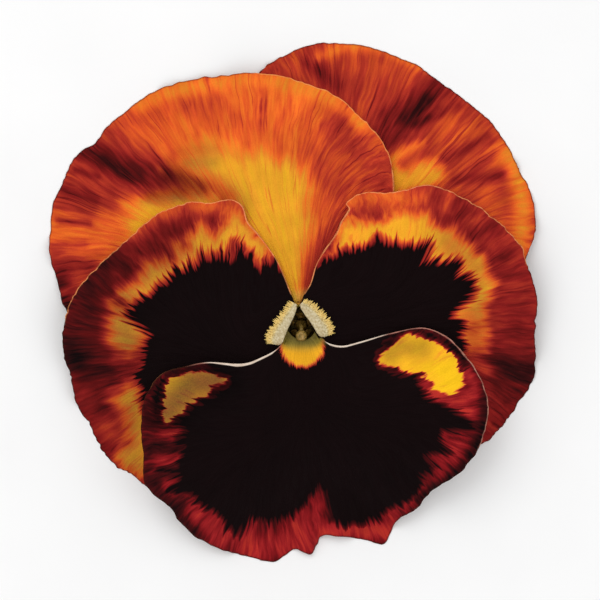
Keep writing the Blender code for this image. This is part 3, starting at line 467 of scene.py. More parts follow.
def linear(red, green, blue):
    """A display colour from 0 to 255 as a linear one."""
    out = []
    for part in (red / 255.0, green / 255.0, blue / 255.0):
        out.append(part / 12.92 if part <= 0.04045 else ((part + 0.055) / 1.055) ** 2.4)
    return (*out, 1.0)


def ease(value, low, high):
    """0 at low and beyond, 1 at high and beyond, and a smooth step between. Low may be the greater."""
    t = np.clip((value - low) / (high - low), 0.0, 1.0)
    return t * t * (3.0 - 2.0 * t)


def soft_noise(values, cells, rng):
    """Smooth random heights from -1 to 1 at places given in cells."""
    knots = rng.uniform(-1.0, 1.0, cells + 2)
    place = np.clip(values, 0.0, cells)
    low = np.minimum(place.astype(int), cells)
    t = ease(place - low, 0.0, 1.0)
    return knots[low] * (1.0 - t) + knots[low + 1] * t


def even(count):
    return np.linspace(0.0, 1.0, count)


def circle(count):
    return np.linspace(0.0, FULL_TURN, count, endpoint=False)


def level_ring(angles, reach, height, x=0.0, y=0.0):
    """Points round x, y at one height, at a reach that may differ from angle to angle."""
    heights = np.full(len(angles), height)
    return np.column_stack([x + reach * np.cos(angles), y + reach * np.sin(angles), heights])


def turned(reach, off, angle):
    """Plan coordinates at a reach in the direction of an angle, and off to the left of it."""
    turn = math.radians(angle)
    return reach * math.cos(turn) - off * math.sin(turn), reach * math.sin(turn) + off * math.cos(turn)


def unit(vectors):
    return vectors / np.linalg.norm(vectors, axis=-1, keepdims=True)


def dome(radius):
    """Height of the face at a distance from the throat."""
    return CROWN - DOME_SLOPE * radius - DOME_CURVE * radius ** 2


def smooth_path(points, per_span=14):
    """A Catmull-Rom curve through the points, dense, and the row at which each point lies."""
    pts = np.array(points, dtype=float)
    ends = np.vstack([2.0 * pts[0] - pts[1], pts, 2.0 * pts[-1] - pts[-2]])
    samples = []
    for k in range(len(pts) - 1):
        p0, p1, p2, p3 = ends[k:k + 4]
        for t in np.arange(per_span) / per_span:
            samples.append(0.5 * (2.0 * p1 + (p2 - p0) * t
                                  + (2.0 * p0 - 5.0 * p1 + 4.0 * p2 - p3) * t ** 2
                                  + (3.0 * p1 - p0 - 3.0 * p2 + p3) * t ** 3))
    samples.append(pts[-1])
    return np.array(samples), [k * per_span for k in range(len(pts))]


def bezier(t, start, leave, arrive, end):
    return ((1.0 - t) ** 3 * start + 3.0 * t * (1.0 - t) ** 2 * leave
            + 3.0 * t ** 2 * (1.0 - t) * arrive + t ** 3 * end)


def distances(path):
    """Length of a polyline up to each of its points."""
    return np.concatenate([[0.0], np.cumsum(np.linalg.norm(np.diff(path, axis=0), axis=1))])


def along(path, fractions):
    """Points at the given fractions of a polyline's length."""
    length = distances(path)
    want = np.asarray(fractions) * length[-1]
    return np.stack([np.interp(want, length, path[:, 0]), np.interp(want, length, path[:, 1])], axis=1)


def outline(petal):
    """The petal's smooth outline and the three stretches that it is made of."""
    points = [petal.base[0], *petal.side_a, *petal.margin, *petal.side_b, petal.base[1]]
    path, rows = smooth_path(points)
    first = rows[1 + len(petal.side_a)]
    last = rows[len(petal.side_a) + len(petal.margin)]
    return path, path[:first + 1], path[first:last + 1], path[last:][::-1]


def path_distance(points, path, closed=False):
    """Distance of plan points from a polyline, and which of them a closed one holds."""
    starts = np.array(path, dtype=float)
    ends = np.roll(starts, -1, axis=0)
    if not closed:
        starts, ends = starts[:-1], ends[:-1]
    best = np.full(len(points), np.inf)
    inside = np.zeros(len(points), dtype=bool)
    x, y = points.T
    for (ax, ay), (bx, by) in zip(starts, ends):
        dx, dy = bx - ax, by - ay
        t = np.clip(((x - ax) * dx + (y - ay) * dy) / (dx * dx + dy * dy + 1e-12), 0.0, 1.0)
        best = np.minimum(best, np.hypot(x - ax - t * dx, y - ay - t * dy))
        crosses = (ay > y) != (by > y)
        inside ^= crosses & (x < ax + (y - ay) * dx / (dy if dy else 1e-12))
    return best, inside


def outside_distance(points, polygon):
    """Distance of plan points from a closed polygon, positive outside of it."""
    best, inside = path_distance(points, polygon, closed=True)
    return np.where(inside, -best, best)


def smeared(points, ground, smears):
    """A ground value with soft smears of other values laid on it in turn."""
    value = np.full(len(points), ground)
    for path, half, level, strength in smears:
        distance, _ = path_distance(points, path)
        value += (level - value) * strength * np.exp(-(distance / half) ** 2)
    return value


def pleat_rise(points):
    """Height of the lower petal's pleat at plan points."""
    start, end = np.array(PLEAT_START), np.array(PLEAT_END)
    length = np.linalg.norm(end - start)
    axis = (end - start) / length
    down = (points - start) @ axis
    side = (points - start) @ np.array([-axis[1], axis[0]])
    fold = ease(side, -PLEAT_LEFT_WIDTH, 0.0) * ease(side, PLEAT_RIGHT_WIDTH, 0.0)
    return PLEAT_HEIGHT * ease(down, -1.0, length) * fold


def overlap(petal, points):
    """Distances from the petals in front of this one and from those behind it."""
    covered = beneath = np.full(len(points), np.inf)
    for other in PETALS:
        if other is petal:
            continue
        distance = outside_distance(points, outline(other)[0][::3])
        if other.layer > petal.layer:
            covered = np.minimum(covered, distance)
        else:
            beneath = np.minimum(beneath, distance)
    return covered, beneath


def petal_height(petal, points, across, outward, covered, beneath):
    """Height of the petal's mid surface over plan points, as in the solids."""
    radius = np.hypot(*points.T)
    height = dome(radius) + petal.layer * LAYER_STEP
    free_below = ease(beneath, 0.4, 5.0)
    reach = np.clip(beneath, 0.0, 15.0) / 15.0
    if petal.layer == 0:
        free_below = ease(radius, 16.0, 30.0)
        reach = ease(radius, 24.0, 38.0)
    waves = petal.wave_count * FULL_TURN * across
    wave = 0.62 * np.sin(waves + petal.layer) + 0.38 * np.sin(1.73 * waves + 2.1 * petal.layer)
    lift = free_below * wave + (1.0 - free_below) * (0.55 + 0.45 * wave)
    height += petal.wave * outward ** 3 * ease(covered, 0.2, 4.5) * lift
    height -= petal.droop * reach ** 1.5 * ease(radius, 12.0, 32.0)
    if petal is LOWER:
        x, y = points.T
        dip = ease(y, -3.7, -2.0) * ease(x, 3.4, 2.3) * ease(x, -3.9, -2.3)
        height += pleat_rise(points) - THROAT_DIP * dip
    return height


def rib_fan(petal, points, share, ends):
    """The rib through each point, for ribs that are curves from the claw to square on the margin."""
    base_a, base_b = np.array(petal.base)
    starts = base_a + (base_b - base_a) * np.clip(share, -0.1, 1.1)[:, None]
    course = unit(np.gradient(ends, axis=0))
    kernel = np.hanning(2 * RIB_SMOOTHING + 1)
    padded = np.pad(course, ((RIB_SMOOTHING, RIB_SMOOTHING), (0, 0)), mode="edge")
    smooth = [np.convolve(part, kernel / kernel.sum(), mode="valid") for part in padded.T]
    square = unit(np.stack([-smooth[1], smooth[0]], axis=1))
    chord = ends - starts
    square *= np.sign(np.sum(square * chord, axis=1))[:, None]
    arrive = ends - petal.fan * np.linalg.norm(chord, axis=1)[:, None] * square
    t = even(RIB_SAMPLES)[None, :, None]
    curves = bezier(t, *(part[:, None] for part in (starts, starts + 0.3 * chord, arrive, ends)))

    tree = KDTree(curves.size // 2)
    for k, (x, y) in enumerate(curves.reshape(-1, 2)):
        tree.insert((x, y, 0.0), k)
    tree.balance()
    nearest = np.array([tree.find((x, y, 0.0))[1] for x, y in points])
    spot = nearest // RIB_SAMPLES, nearest % RIB_SAMPLES
    off_x, off_y = (points - curves[spot]).T
    a_x, a_y = np.gradient(curves, axis=0)[spot].T
    b_x, b_y = np.gradient(curves, axis=1)[spot].T
    area = a_x * b_y - a_y * b_x
    moved = (off_x * b_y - off_y * b_x) / np.where(np.abs(area) < 1e-6, 1e-6, area)
    return share[spot[0]] + np.clip(moved, -1.0, 1.0) * np.gradient(share)[spot[0]]


def rib_places(petal, points, across, outward):
    """Where along the margin the rib through each point ends, as a fraction of the margin."""
    margin = along(outline(petal)[2], even(MARGIN_SAMPLES))
    length = distances(margin)[-1]
    first, last = np.array(petal.wings)
    before, after = np.linalg.norm(first - margin[0]) / length, np.linalg.norm(last - margin[-1]) / length
    steps = np.linspace(0.0, 1.0, WING_SAMPLES, endpoint=False)
    share = np.concatenate([before * (steps - 1.0), even(MARGIN_SAMPLES), 1.0 + after * (1.0 - steps[::-1])])
    steps = steps[:, None]
    ends = np.vstack([first + (margin[0] - first) * steps, margin, last + (margin[-1] - last) * steps[::-1]])
    if petal.fan:
        return rib_fan(petal, points, share, ends)
    distance = np.hypot(points[:, None, 0] - ends[None, :, 0], points[:, None, 1] - ends[None, :, 1])
    weight = np.exp(-(distance - distance.min(axis=1, keepdims=True)) / RIB_BLUR)
    nearest = (weight @ share) / weight.sum(axis=1)
    amount, low, high = petal.turn
    amount = amount * ease(outward, low, high)
    return (1.0 - amount) * across + amount * nearest


def petal_shares(petal):
    """Fractions across and along the petal for its grid, closer together where the pleat starts."""
    across, outward = even(PETAL_COLUMNS), even(PETAL_ROWS)
    if petal is not LOWER:
        return across, outward ** 0.95
    fine = even(2001)
    density = 1.0 + PLEAT_CROWD_GAIN * np.exp(-((fine - PLEAT_SHARE) / PLEAT_CROWD_WIDTH) ** 2)
    total = np.concatenate([[0.0], np.cumsum(0.5 * (density[1:] + density[:-1]))])
    return np.interp(across, total / total[-1], fine), outward ** 1.15


def petal_plan(petal, u, v):
    """The grid's plan points, blended from the four stretches of the outline."""
    _, side_a, margin, side_b = outline(petal)
    base_a, base_b = np.array(petal.base)
    base = base_a + (base_b - base_a) * u[:, None]
    bulge = petal.bow * (1.0 - np.abs(2.0 * u - 1.0) ** 2.6)
    base += bulge[:, None] * unit(base_a + base_b)
    left, right, far = along(side_a, v), along(side_b, v), along(margin, u)
    u, v = u[None, :, None], v[:, None, None]
    plan = (1.0 - v) * base + v * far + (1.0 - u) * left[:, None] + u * right[:, None]
    return (plan - (1.0 - u) * (1.0 - v) * base_a - u * (1.0 - v) * base_b
            - (1.0 - u) * v * margin[0] - u * v * margin[-1])


def petal_claw(petal, brink, u):
    """Rows of points from the claw's foot up to the blade's edge at the throat."""
    (ax, ay), (bx, by) = petal.base
    turn = 1.0 if ax * by > ay * bx else -1.0
    sweep = np.radians(petal.claw_angle + turn * CLAW_HALF_ANGLE * (2.0 * u - 1.0))
    foot = level_ring(sweep, CLAW_RING, FOOT_HEIGHT)
    inward = unit(foot[:, :2] - CLAW_PULL * brink[:, :2])
    bend = brink + np.column_stack([CLAW_BEND * inward, np.full(len(u), -CLAW_DROP)])
    depths = np.linspace(1.0, 0.0, CLAW_ROWS + 1)[:-1]
    claw = bezier(depths[:, None, None], brink, bend, foot + np.array([0.0, 0.0, CLAW_RISE]), foot)
    radius = np.hypot(claw[..., 0], claw[..., 1])
    push = np.maximum(1.0, CLAW_CLEARANCE * ease(brink[:, 2] - claw[..., 2], 0.0, 1.5) / radius)
    claw[..., :2] *= push[..., None]
    return claw, depths


def petal_grid(petal):
    """The petal's fine mid surface with its claw, and the facts at each of its points."""
    u, v = petal_shares(petal)
    flat = petal_plan(petal, u, v).reshape(-1, 2)
    across, outward = (part.ravel() for part in np.meshgrid(u, v))
    covered, beneath = overlap(petal, flat)
    height = petal_height(petal, flat, across, outward, covered, beneath)
    rib = rib_places(petal, flat, across, outward)
    edge = ease(outward, 0.1, 0.02) - outside_distance(flat, outline(petal)[0])

    rng = np.random.default_rng(40 + 7 * PETALS.index(petal))
    open_part = ease(covered, -1.5, 1.0)
    for rise, power, cells, sway, bends in FOLDS:
        folds = soft_noise(rib * cells + sway * np.sin(bends * outward), cells + 1, rng)
        height += rise * outward ** power * folds * open_part
    scallop = sum(reach * soft_noise(across * cells, cells + 1, rng) for reach, cells in SCALLOPS)
    if petal is UPPER_RIGHT:
        scallop *= UPPER_RIGHT_SCALLOPS
    radial = flat / (np.hypot(*flat.T) + 1e-6)[:, None]
    flat = flat + (scallop * outward ** 9)[:, None] * radial

    blade = np.column_stack([flat, height]).reshape(PETAL_ROWS, PETAL_COLUMNS, 3)
    claw, depths = petal_claw(petal, blade[0], u)
    grid = np.concatenate([claw, blade])
    depths = depths[:, None]
    facts = {"plan": grid[..., :2].reshape(-1, 2)}
    values = [("rib", u, rib), ("outward", -0.2 * depths, outward), ("claw", depths, 0.0 * rib),
              ("beneath", 9.0, beneath), ("edge", 1.0, edge)]
    for key, on_claw, on_blade in values:
        on_claw = np.broadcast_to(on_claw, (CLAW_ROWS, PETAL_COLUMNS))
        facts[key] = np.concatenate([on_claw.ravel(), on_blade])
    return grid, facts


def markings(petal, facts):
    """The numbers at each point of the petal that its material draws the markings, painted shade and painted
    light from.
    """
    points = facts["plan"]
    x, y = points.T
    radius = np.hypot(x, y)
    yellow = np.full(len(points), FAR_OFF)
    for area in petal.yellow:
        yellow = np.minimum(yellow, outside_distance(points, area))
    for path, half in petal.cuts:
        yellow = np.maximum(yellow, half - path_distance(points, path)[0])
    blotch = outside_distance(points, petal.blotch) if petal.blotch else np.full(len(points), FAR_OFF)
    over = ease(facts["beneath"], 1.0, -0.2) * ease(facts["outward"], 0.02, 0.15)
    lip = np.zeros(len(points))
    pad = np.full(len(points), FAR_OFF)
    green = ease(facts["claw"], 0.05, 0.5)
    green_reach = 3.4
    if petal is UPPER_LEFT:
        yellow = yellow * (1.0 + 1.2 * ease(radius, 14.0, 5.0))
        green = np.maximum(green, 0.65 * ease(y, 6.0, 3.8))
        green_reach = 4.6
    if petal is LOWER:
        yellow = yellow - 0.28
        blotch = np.maximum(blotch, 0.45 - yellow)
        over = over * ease(x, -16.5, -12.5)
        lip = np.where(y < -8.0, 0.0, np.interp(x, *zip(*LIP_HIGHLIGHT_WIDTHS))) * ease(radius, 3.2, 3.9)
        pad = np.hypot(x - PAD_CENTRE[0], y - PAD_CENTRE[1]) - PAD_RADIUS
        pad = np.where(facts["claw"] > 0.0, -2.0, pad)
        green = np.maximum(green, ease(y, -4.4, -2.6))
    return {
        "rib": facts["rib"] * distances(outline(petal)[2])[-1],
        "outward": facts["outward"],
        "yellow": yellow,
        "blotch": blotch,
        "pigment": smeared(points, petal.pigment, petal.smears),
        "tint": smeared(points, petal.tint, petal.tints),
        # The claws are brightened: painted light for what comes through the thin petals into the throat
        "shade": smeared(points, petal.shade, petal.shades) * (1.0 + 1.1 * ease(facts["claw"], 0.0, 0.3)),
        "red": np.full(len(points), petal.red),
        "edge": facts["edge"],
        "over": over,
        "lip": lip,
        "pad": pad,
        "green": green * ease(radius, green_reach + 1.2, green_reach),
        "bite": smeared(points, petal.bite, petal.bites),
    }


def sheet(mid, thickness):
    """A closed blade round a grid of points. Thickness is one number for each point of the grid."""
    rows, columns, _ = mid.shape
    normal = unit(np.cross(np.gradient(mid, axis=1), np.gradient(mid, axis=0)))
    flipped = normal[rows // 2, columns // 2, 2] < 0.0
    if flipped:
        normal = -normal
    half = 0.5 * thickness[..., None]
    upper, lower = mid + half * normal, mid - half * normal
    lower[..., 2] = np.maximum(lower[..., 2], 0.0)
    upper[..., 2] = np.maximum(upper[..., 2], lower[..., 2] + 0.1)
    verts = np.vstack([upper.reshape(-1, 3), lower.reshape(-1, 3)])
    number = np.arange(rows * columns).reshape(rows, columns)
    corner = number[:-1, :-1].ravel()
    quads = np.stack([corner, corner + 1, corner + columns + 1, corner + columns], axis=1)
    ring = np.concatenate([number[0], number[1:, -1], number[-1, -2::-1], number[-2:0:-1, 0]])
    after = np.roll(ring, -1)
    rim = np.stack([after, ring, ring + number.size, after + number.size], axis=1)
    faces = np.vstack([quads, quads[:, ::-1] + number.size, rim])
    return verts, faces[:, ::-1] if flipped else faces


def rings_mesh(rings, closed_start=True):
    """Skins rings of equally many points and closes the ends with fans."""
    sides, top = len(rings[0]), (len(rings) - 1) * len(rings[0])
    verts = np.vstack(rings)
    faces = []
    for i in range(len(rings) - 1):
        for k in range(sides):
            a, b = i * sides + k, i * sides + (k + 1) % sides
            faces.append((a, b, b + sides, a + sides))
    if closed_start:
        verts = np.vstack([verts, rings[0].mean(axis=0)])
        faces += [(len(verts) - 1, (k + 1) % sides, k) for k in range(sides)]
    verts = np.vstack([verts, rings[-1].mean(axis=0)])
    faces += [(len(verts) - 1, top + k, top + (k + 1) % sides) for k in range(sides)]
    return verts, faces


def tube_rings(path, radii, sides, lobes=0, depth=0.0):
    """Round rings along a path, with shallow lengthwise grooves if a depth is given."""
    path = np.array(path, dtype=float)
    tangent = unit(np.gradient(path, axis=0))
    across = np.cross(tangent[0], (0.0, 1.0, 0.0))
    if np.linalg.norm(across) < 0.1:
        across = np.cross(tangent[0], (1.0, 0.0, 0.0))
    angles = circle(sides)[:, None]
    rings = []
    for point, forward, radius in zip(path, tangent, radii):
        across = unit(across - forward * (across @ forward))
        other = np.cross(forward, across)
        reach = radius * (1.0 - depth * (0.5 + 0.5 * np.cos(lobes * angles)))
        rings.append(point + reach * (np.cos(angles) * across + np.sin(angles) * other))
    return rings


def ring_places(around, down):
    """Rib and outward values for rings that are closed at both ends."""
    return {"rib": np.append(np.tile(around, len(down)), [0.5, 0.5]),
            "outward": np.append(np.repeat(down, len(around)), [down[0], down[-1]])}


def join_meshes(*parts):
    """Several lists of points and faces as one."""
    verts, faces, shift = [], [], 0
    for points, sides in parts:
        verts.append(points)
        faces += [tuple(int(i) + shift for i in face) for face in sides]
        shift += len(points)
    return np.vstack(verts), faces


def join_facts(*parts):
    return {key: np.concatenate([part[key] for part in parts]) for key in parts[0]}


def linked(name, data):
    """A new object in the scene."""
    made = bpy.data.objects.new(name, data)
    bpy.context.scene.collection.objects.link(made)
    return made


def linked_mesh(name, verts, faces, skin):
    mesh = bpy.data.meshes.new(name)
    mesh.from_pydata(verts, [], faces)
    mesh.materials.append(skin)
    return linked(name, mesh)


def add_piece(name, verts, faces, skin, slot, replaced=(), facts=None):
    """A piece of the bloom from millimetre points measured from the throat."""
    placed = (verts + np.array([*THROAT, 0.0])) * MM
    if isinstance(faces, np.ndarray):
        faces = faces.tolist()
    made = linked_mesh(name, placed.tolist(), faces, skin)
    made.data.polygons.foreach_set("use_smooth", [True] * len(faces))
    made.data.update()
    for key, values in (facts or {}).items():
        layer = made.data.attributes.new(key, "FLOAT", "POINT")
        layer.data.foreach_set("value", np.asarray(values, dtype=np.float32))
    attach(made, "root")
    if replaced:
        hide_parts(*replaced)


class Signal:
    """A number or colour on its way through a material. Arithmetic on it adds Math nodes."""

    def __init__(self, skin, socket):
        self.skin, self.socket = skin, socket

    def __add__(self, other):
        return self.skin.math("ADD", self, other)

    def __sub__(self, other):
        return self.skin.math("SUBTRACT", self, other)

    def __rsub__(self, other):
        return self.skin.math("SUBTRACT", other, self)

    def __mul__(self, other):
        return self.skin.math("MULTIPLY", self, other)

    def __truediv__(self, other):
        return self.skin.math("DIVIDE", self, other)

    def __pow__(self, other):
        return self.skin.math("POWER", self, other)

    def __abs__(self):
        return self.skin.math("ABSOLUTE", self)


class Skin:
    """A material under construction. Each method adds nodes and gives the signal that leaves them."""

    def __init__(self, name):
        self.material = bpy.data.materials.new(name)
        self.material.use_nodes = True
        self.tree = self.material.node_tree
        self.shader = self.tree.nodes["Principled BSDF"]

    def put(self, socket, value):
        if isinstance(value, Signal):
            self.tree.links.new(value.socket, socket)
        else:
            socket.default_value = value

    def node(self, kind, inputs, output=0, **settings):
        made = self.tree.nodes.new("ShaderNode" + kind)
        for key, value in settings.items():
            setattr(made, key, value)
        for key, value in inputs.items():
            self.put(made.inputs[key], value)
        return Signal(self, made.outputs[output])

    def math(self, operation, a, b=0.0, clamp=False):
        return self.node("Math", {0: a, 1: b}, operation=operation, use_clamp=clamp)

    def attribute(self, name):
        return self.node("Attribute", {}, "Fac", attribute_type="GEOMETRY", attribute_name=name)

    def vector(self, x, y, z):
        return self.node("CombineXYZ", {0: x, 1: y, 2: z})

    def noise(self, vector, scale, detail=2.0):
        return self.node("TexNoise", {"Vector": vector, "Scale": scale, "Detail": detail})

    def grain(self, scale, detail=2.0):
        """Noise that stands still in the object."""
        return self.noise(self.node("TexCoord", {}, "Object"), scale, detail)

    def step(self, value, low, high, to_low=0.0, to_high=1.0, kind="SMOOTHSTEP"):
        inputs = {"Value": value, "From Min": low, "From Max": high, "To Min": to_low, "To Max": to_high}
        return self.node("MapRange", inputs, interpolation_type=kind)

    def curve(self, value, stops):
        """A ramp through linear colours, or through numbers, by their place."""
        made = self.node("ValToRGB", {0: value})
        elements = made.socket.node.color_ramp.elements
        for place, _ in stops[1:-1]:
            elements.new(place)
        for element, (place, colour) in zip(elements, stops):
            element.position = place
            element.color = colour if isinstance(colour, tuple) else (colour, colour, colour, 1.0)
        return made

    def ramp(self, value, *stops):
        """A ramp through display colours, each of them after its place."""
        return self.curve(value, [(place, linear(*colour)) for place, *colour in stops])

    def blend(self, share, a, b):
        return self.node("Mix", {0: share, 6: a, 7: b}, 2, data_type="RGBA")

    def between(self, share, a, b):
        return self.node("Mix", {0: share, 2: a, 3: b}, data_type="FLOAT")

    def bump(self, height, distance, strength):
        made = self.node("Bump", {"Strength": strength, "Distance": distance, "Height": height})
        self.put(self.shader.inputs["Normal"], made)

    def finish(self, colour, roughness, specular):
        self.put(self.shader.inputs["Base Color"], colour)
        self.put(self.shader.inputs["Roughness"], roughness)
        self.put(self.shader.inputs["Specular IOR Level"], specular)
        return self.material


def petal_skin(petal):
    """Streaked, velvety petal tissue driven by the markings stored on the mesh, with painted shade and
    highlights.
    """
    skin = Skin(petal.name + "_skin")
    seed = 3.7 * (1 + PETALS.index(petal))
    rib, outward = skin.attribute("rib"), skin.attribute("outward")

    def streak(rate, stretch, offset=0.0, detail=2.0):
        """Noise round 0, fine across the ribs by its rate and long beside them by its stretch."""
        return skin.noise(skin.vector(rib * rate, outward * stretch, seed + offset), 1.0, detail) - 0.5

    # Ribs that wander, and the streaks, veins and teeth along them
    rib = rib + streak(0.1, 5.0) * 1.6 + streak(0.6, 9.0) * 0.9
    broad, middle, fine = streak(0.36, 3.6), streak(1.0, 6.0, 3.1), streak(3.2, 13.0, 7.7)
    mixed = broad * 0.50 + middle * 0.32 + fine * 0.18
    vein = skin.step(abs(streak(0.7, 0.9, 15.9, 1.0)), 0.03, 0.0)
    vein = vein * skin.step(streak(0.5, 7.0, 21.3), -0.05, 0.12)
    tooth = skin.step(streak(petal.teeth, 2.4, 11.3, 1.0), -0.14, 0.26, kind="LINEAR") ** 1.5

    # The level of pigment: ground, yellow areas, blotch with its fringe, and the pad at the throat
    soft, swing = petal.yellow_edge
    yellow = skin.step(mixed * swing + skin.attribute("yellow"), soft, -soft)
    level = mixed * petal.streaks + skin.attribute("pigment") + streak(1.7, 8.0, 27.1) * petal.grain
    level = skin.math("MAXIMUM", level, petal.lightest)
    level = skin.between(yellow, level, mixed * 0.28 + skin.attribute("tint")) + vein * petal.veins
    dark = skin.attribute("blotch") / (skin.attribute("bite") * 0.9)
    dark = dark + mixed * petal.ragged + 0.33 - tooth * 1.1
    level = skin.math("MAXIMUM", level, skin.curve(dark, petal.halo))
    pad = skin.attribute("pad") + mixed * 1.6 - tooth * 0.45
    level = skin.between(skin.step(pad, 0.12, -0.12), level, skin.step(pad, -0.6, 0.12, 0.08, 0.55))
    level = skin.math("ADD", level, 0.0, clamp=True)

    # Its colour, green in the throat, with grain and shade (duller tissue, and painted shade and light), and
    # a blue haze on yellow that is shaded
    colour = skin.blend(skin.attribute("red"), skin.ramp(level, *FLAME), skin.ramp(level, *CRIMSON))
    olive = skin.ramp(middle + 0.5, (0.3, 118, 106, 44), (0.7, 160, 140, 62))
    colour = skin.blend(skin.attribute("green"), colour, olive)
    shade, cells, cloud = skin.attribute("shade"), skin.grain(5200.0, 1.0), skin.grain(240.0, 3.0)
    value = ((cells - 0.5) * 0.2 + shade) * (middle * 0.45 + 1.0) * ((cloud - 0.5) * 0.45 + 1.0)
    colour = skin.node("VectorMath", {0: colour, "Scale": value}, operation="SCALE")
    haze = skin.math("SUBTRACT", 1.0, shade, clamp=True) * skin.step(level, 0.4, 0.15, 0.0, 0.018)
    colour = skin.node("VectorMath", {0: colour, 1: skin.vector(0.0, 0.0, haze)}, operation="ADD")

    # Painted shade on free rims, painted highlights on rims that lie over other petals and on the lower
    # petal's pale lip, and the duller underside
    edge, over, lip = skin.attribute("edge") + fine * 0.12, skin.attribute("over"), skin.attribute("lip")
    # Free rims turn dark brown: painted shade where the surface falls away
    colour = skin.blend(skin.step(edge, 0.22, 0.04) * (1.0 - over) * 0.6, colour, linear(56, 24, 14))
    # Rims that lie over another petal get a painted highlight, as if their cut edge caught the light
    rim_highlight = skin.step(edge, 0.17, 0.07) * over * 0.85 * skin.step(middle, -0.12, 0.1, 0.5, 1.0)
    colour = skin.blend(rim_highlight, colour, linear(*petal.rim_highlight_colour))
    # The pale lip: a painted highlight along the lower petal's curled upper rim
    pale = skin.ramp(fine + 0.5, (0.3, 196, 172, 152), (0.7, 238, 222, 204))
    colour = skin.blend(skin.step(edge - lip, 0.06, -0.06) * skin.step(lip, 0.02, 0.1), colour, pale)
    under = skin.ramp(middle + 0.5, (0.3, 150, 84, 60), (0.7, 206, 142, 88))
    colour = skin.blend(skin.attribute("back"), colour, skin.blend(0.42, colour, under))
    skin.bump(middle * 0.5 + fine * 0.35 + cells * 0.2, 0.0003, 0.6)
    return skin.finish(colour, skin.step(fine, -0.2, 0.2, 0.78, 0.9), 0.05)


def beard_skin():
    """Cream hairs, grey where they are matted and yellow at the outer tips."""
    skin = Skin("beard_hairs")
    outer, mottle = skin.attribute("outer"), skin.grain(3800.0)
    body = skin.ramp(mottle, (0.3, 178, 158, 116), (0.5, 196, 180, 142), (0.7, 214, 200, 168))
    mats = skin.ramp(mottle, (0.34, 154, 142, 98), (0.5, 194, 182, 140), (0.66, 214, 202, 164))
    cream = skin.ramp(mottle, (0.32, 186, 158, 100), (0.6, 226, 206, 150))
    colour = skin.blend(skin.step(outer, 0.0, 0.35), body, mats)
    colour = skin.blend(skin.step(outer, 0.3, 1.0), colour, cream)
    colour = skin.blend(skin.attribute("tip") * skin.step(outer, 0.7, 1.05), colour, linear(240, 204, 110))
    skin.bump(mottle, 0.00005, 0.4)
    return skin.finish(colour, 0.6, 0.25)


def leaf_skin(name, dark, light):
    """Soft green plant skin with long pale ribs."""
    skin = Skin(name)
    rib, cells = skin.attribute("rib"), skin.grain(4200.0)
    lines = skin.noise(skin.vector(rib * 9.0, skin.attribute("outward") * 2.0, 1.7), 1.0)
    colour = skin.ramp(lines * 0.6 + skin.grain(500.0) * 0.4, (0.32, *dark), (0.68, *light))
    colour = skin.blend(skin.step(abs(rib), 0.16, 0.03) * 0.5, colour, linear(168, 190, 110))
    colour = skin.blend(skin.attribute("inner"), colour, linear(118, 98, 44))
    skin.bump(lines * 0.6 + cells * 0.3, 0.00012, 0.7)
    return skin.finish(colour, skin.step(cells, 0.3, 0.7, 0.5, 0.68), 0.35)


def build_petal(petal):
    """One petal with its markings, painted shade and painted highlights."""
    grid, facts = petal_grid(petal)
    marks = markings(petal, facts)
    outward = facts["outward"].reshape(grid.shape[:2])
    across = np.linspace(-1.0, 1.0, grid.shape[1])[None]
    thin = np.maximum(ease(outward, 0.85, 1.0), ease(np.abs(across), 0.92, 1.0) * ease(outward, 0.1, 0.4))
    verts, faces = sheet(grid, BLADE_MIDDLE + (BLADE_MARGIN - BLADE_MIDDLE) * thin)
    marks = join_facts(marks, marks)
    marks["back"] = np.repeat([0.0, 1.0], len(verts) // 2)
    add_piece("fine_" + petal.name, verts, faces, petal_skin(petal), petal.slot, [petal.name], marks)


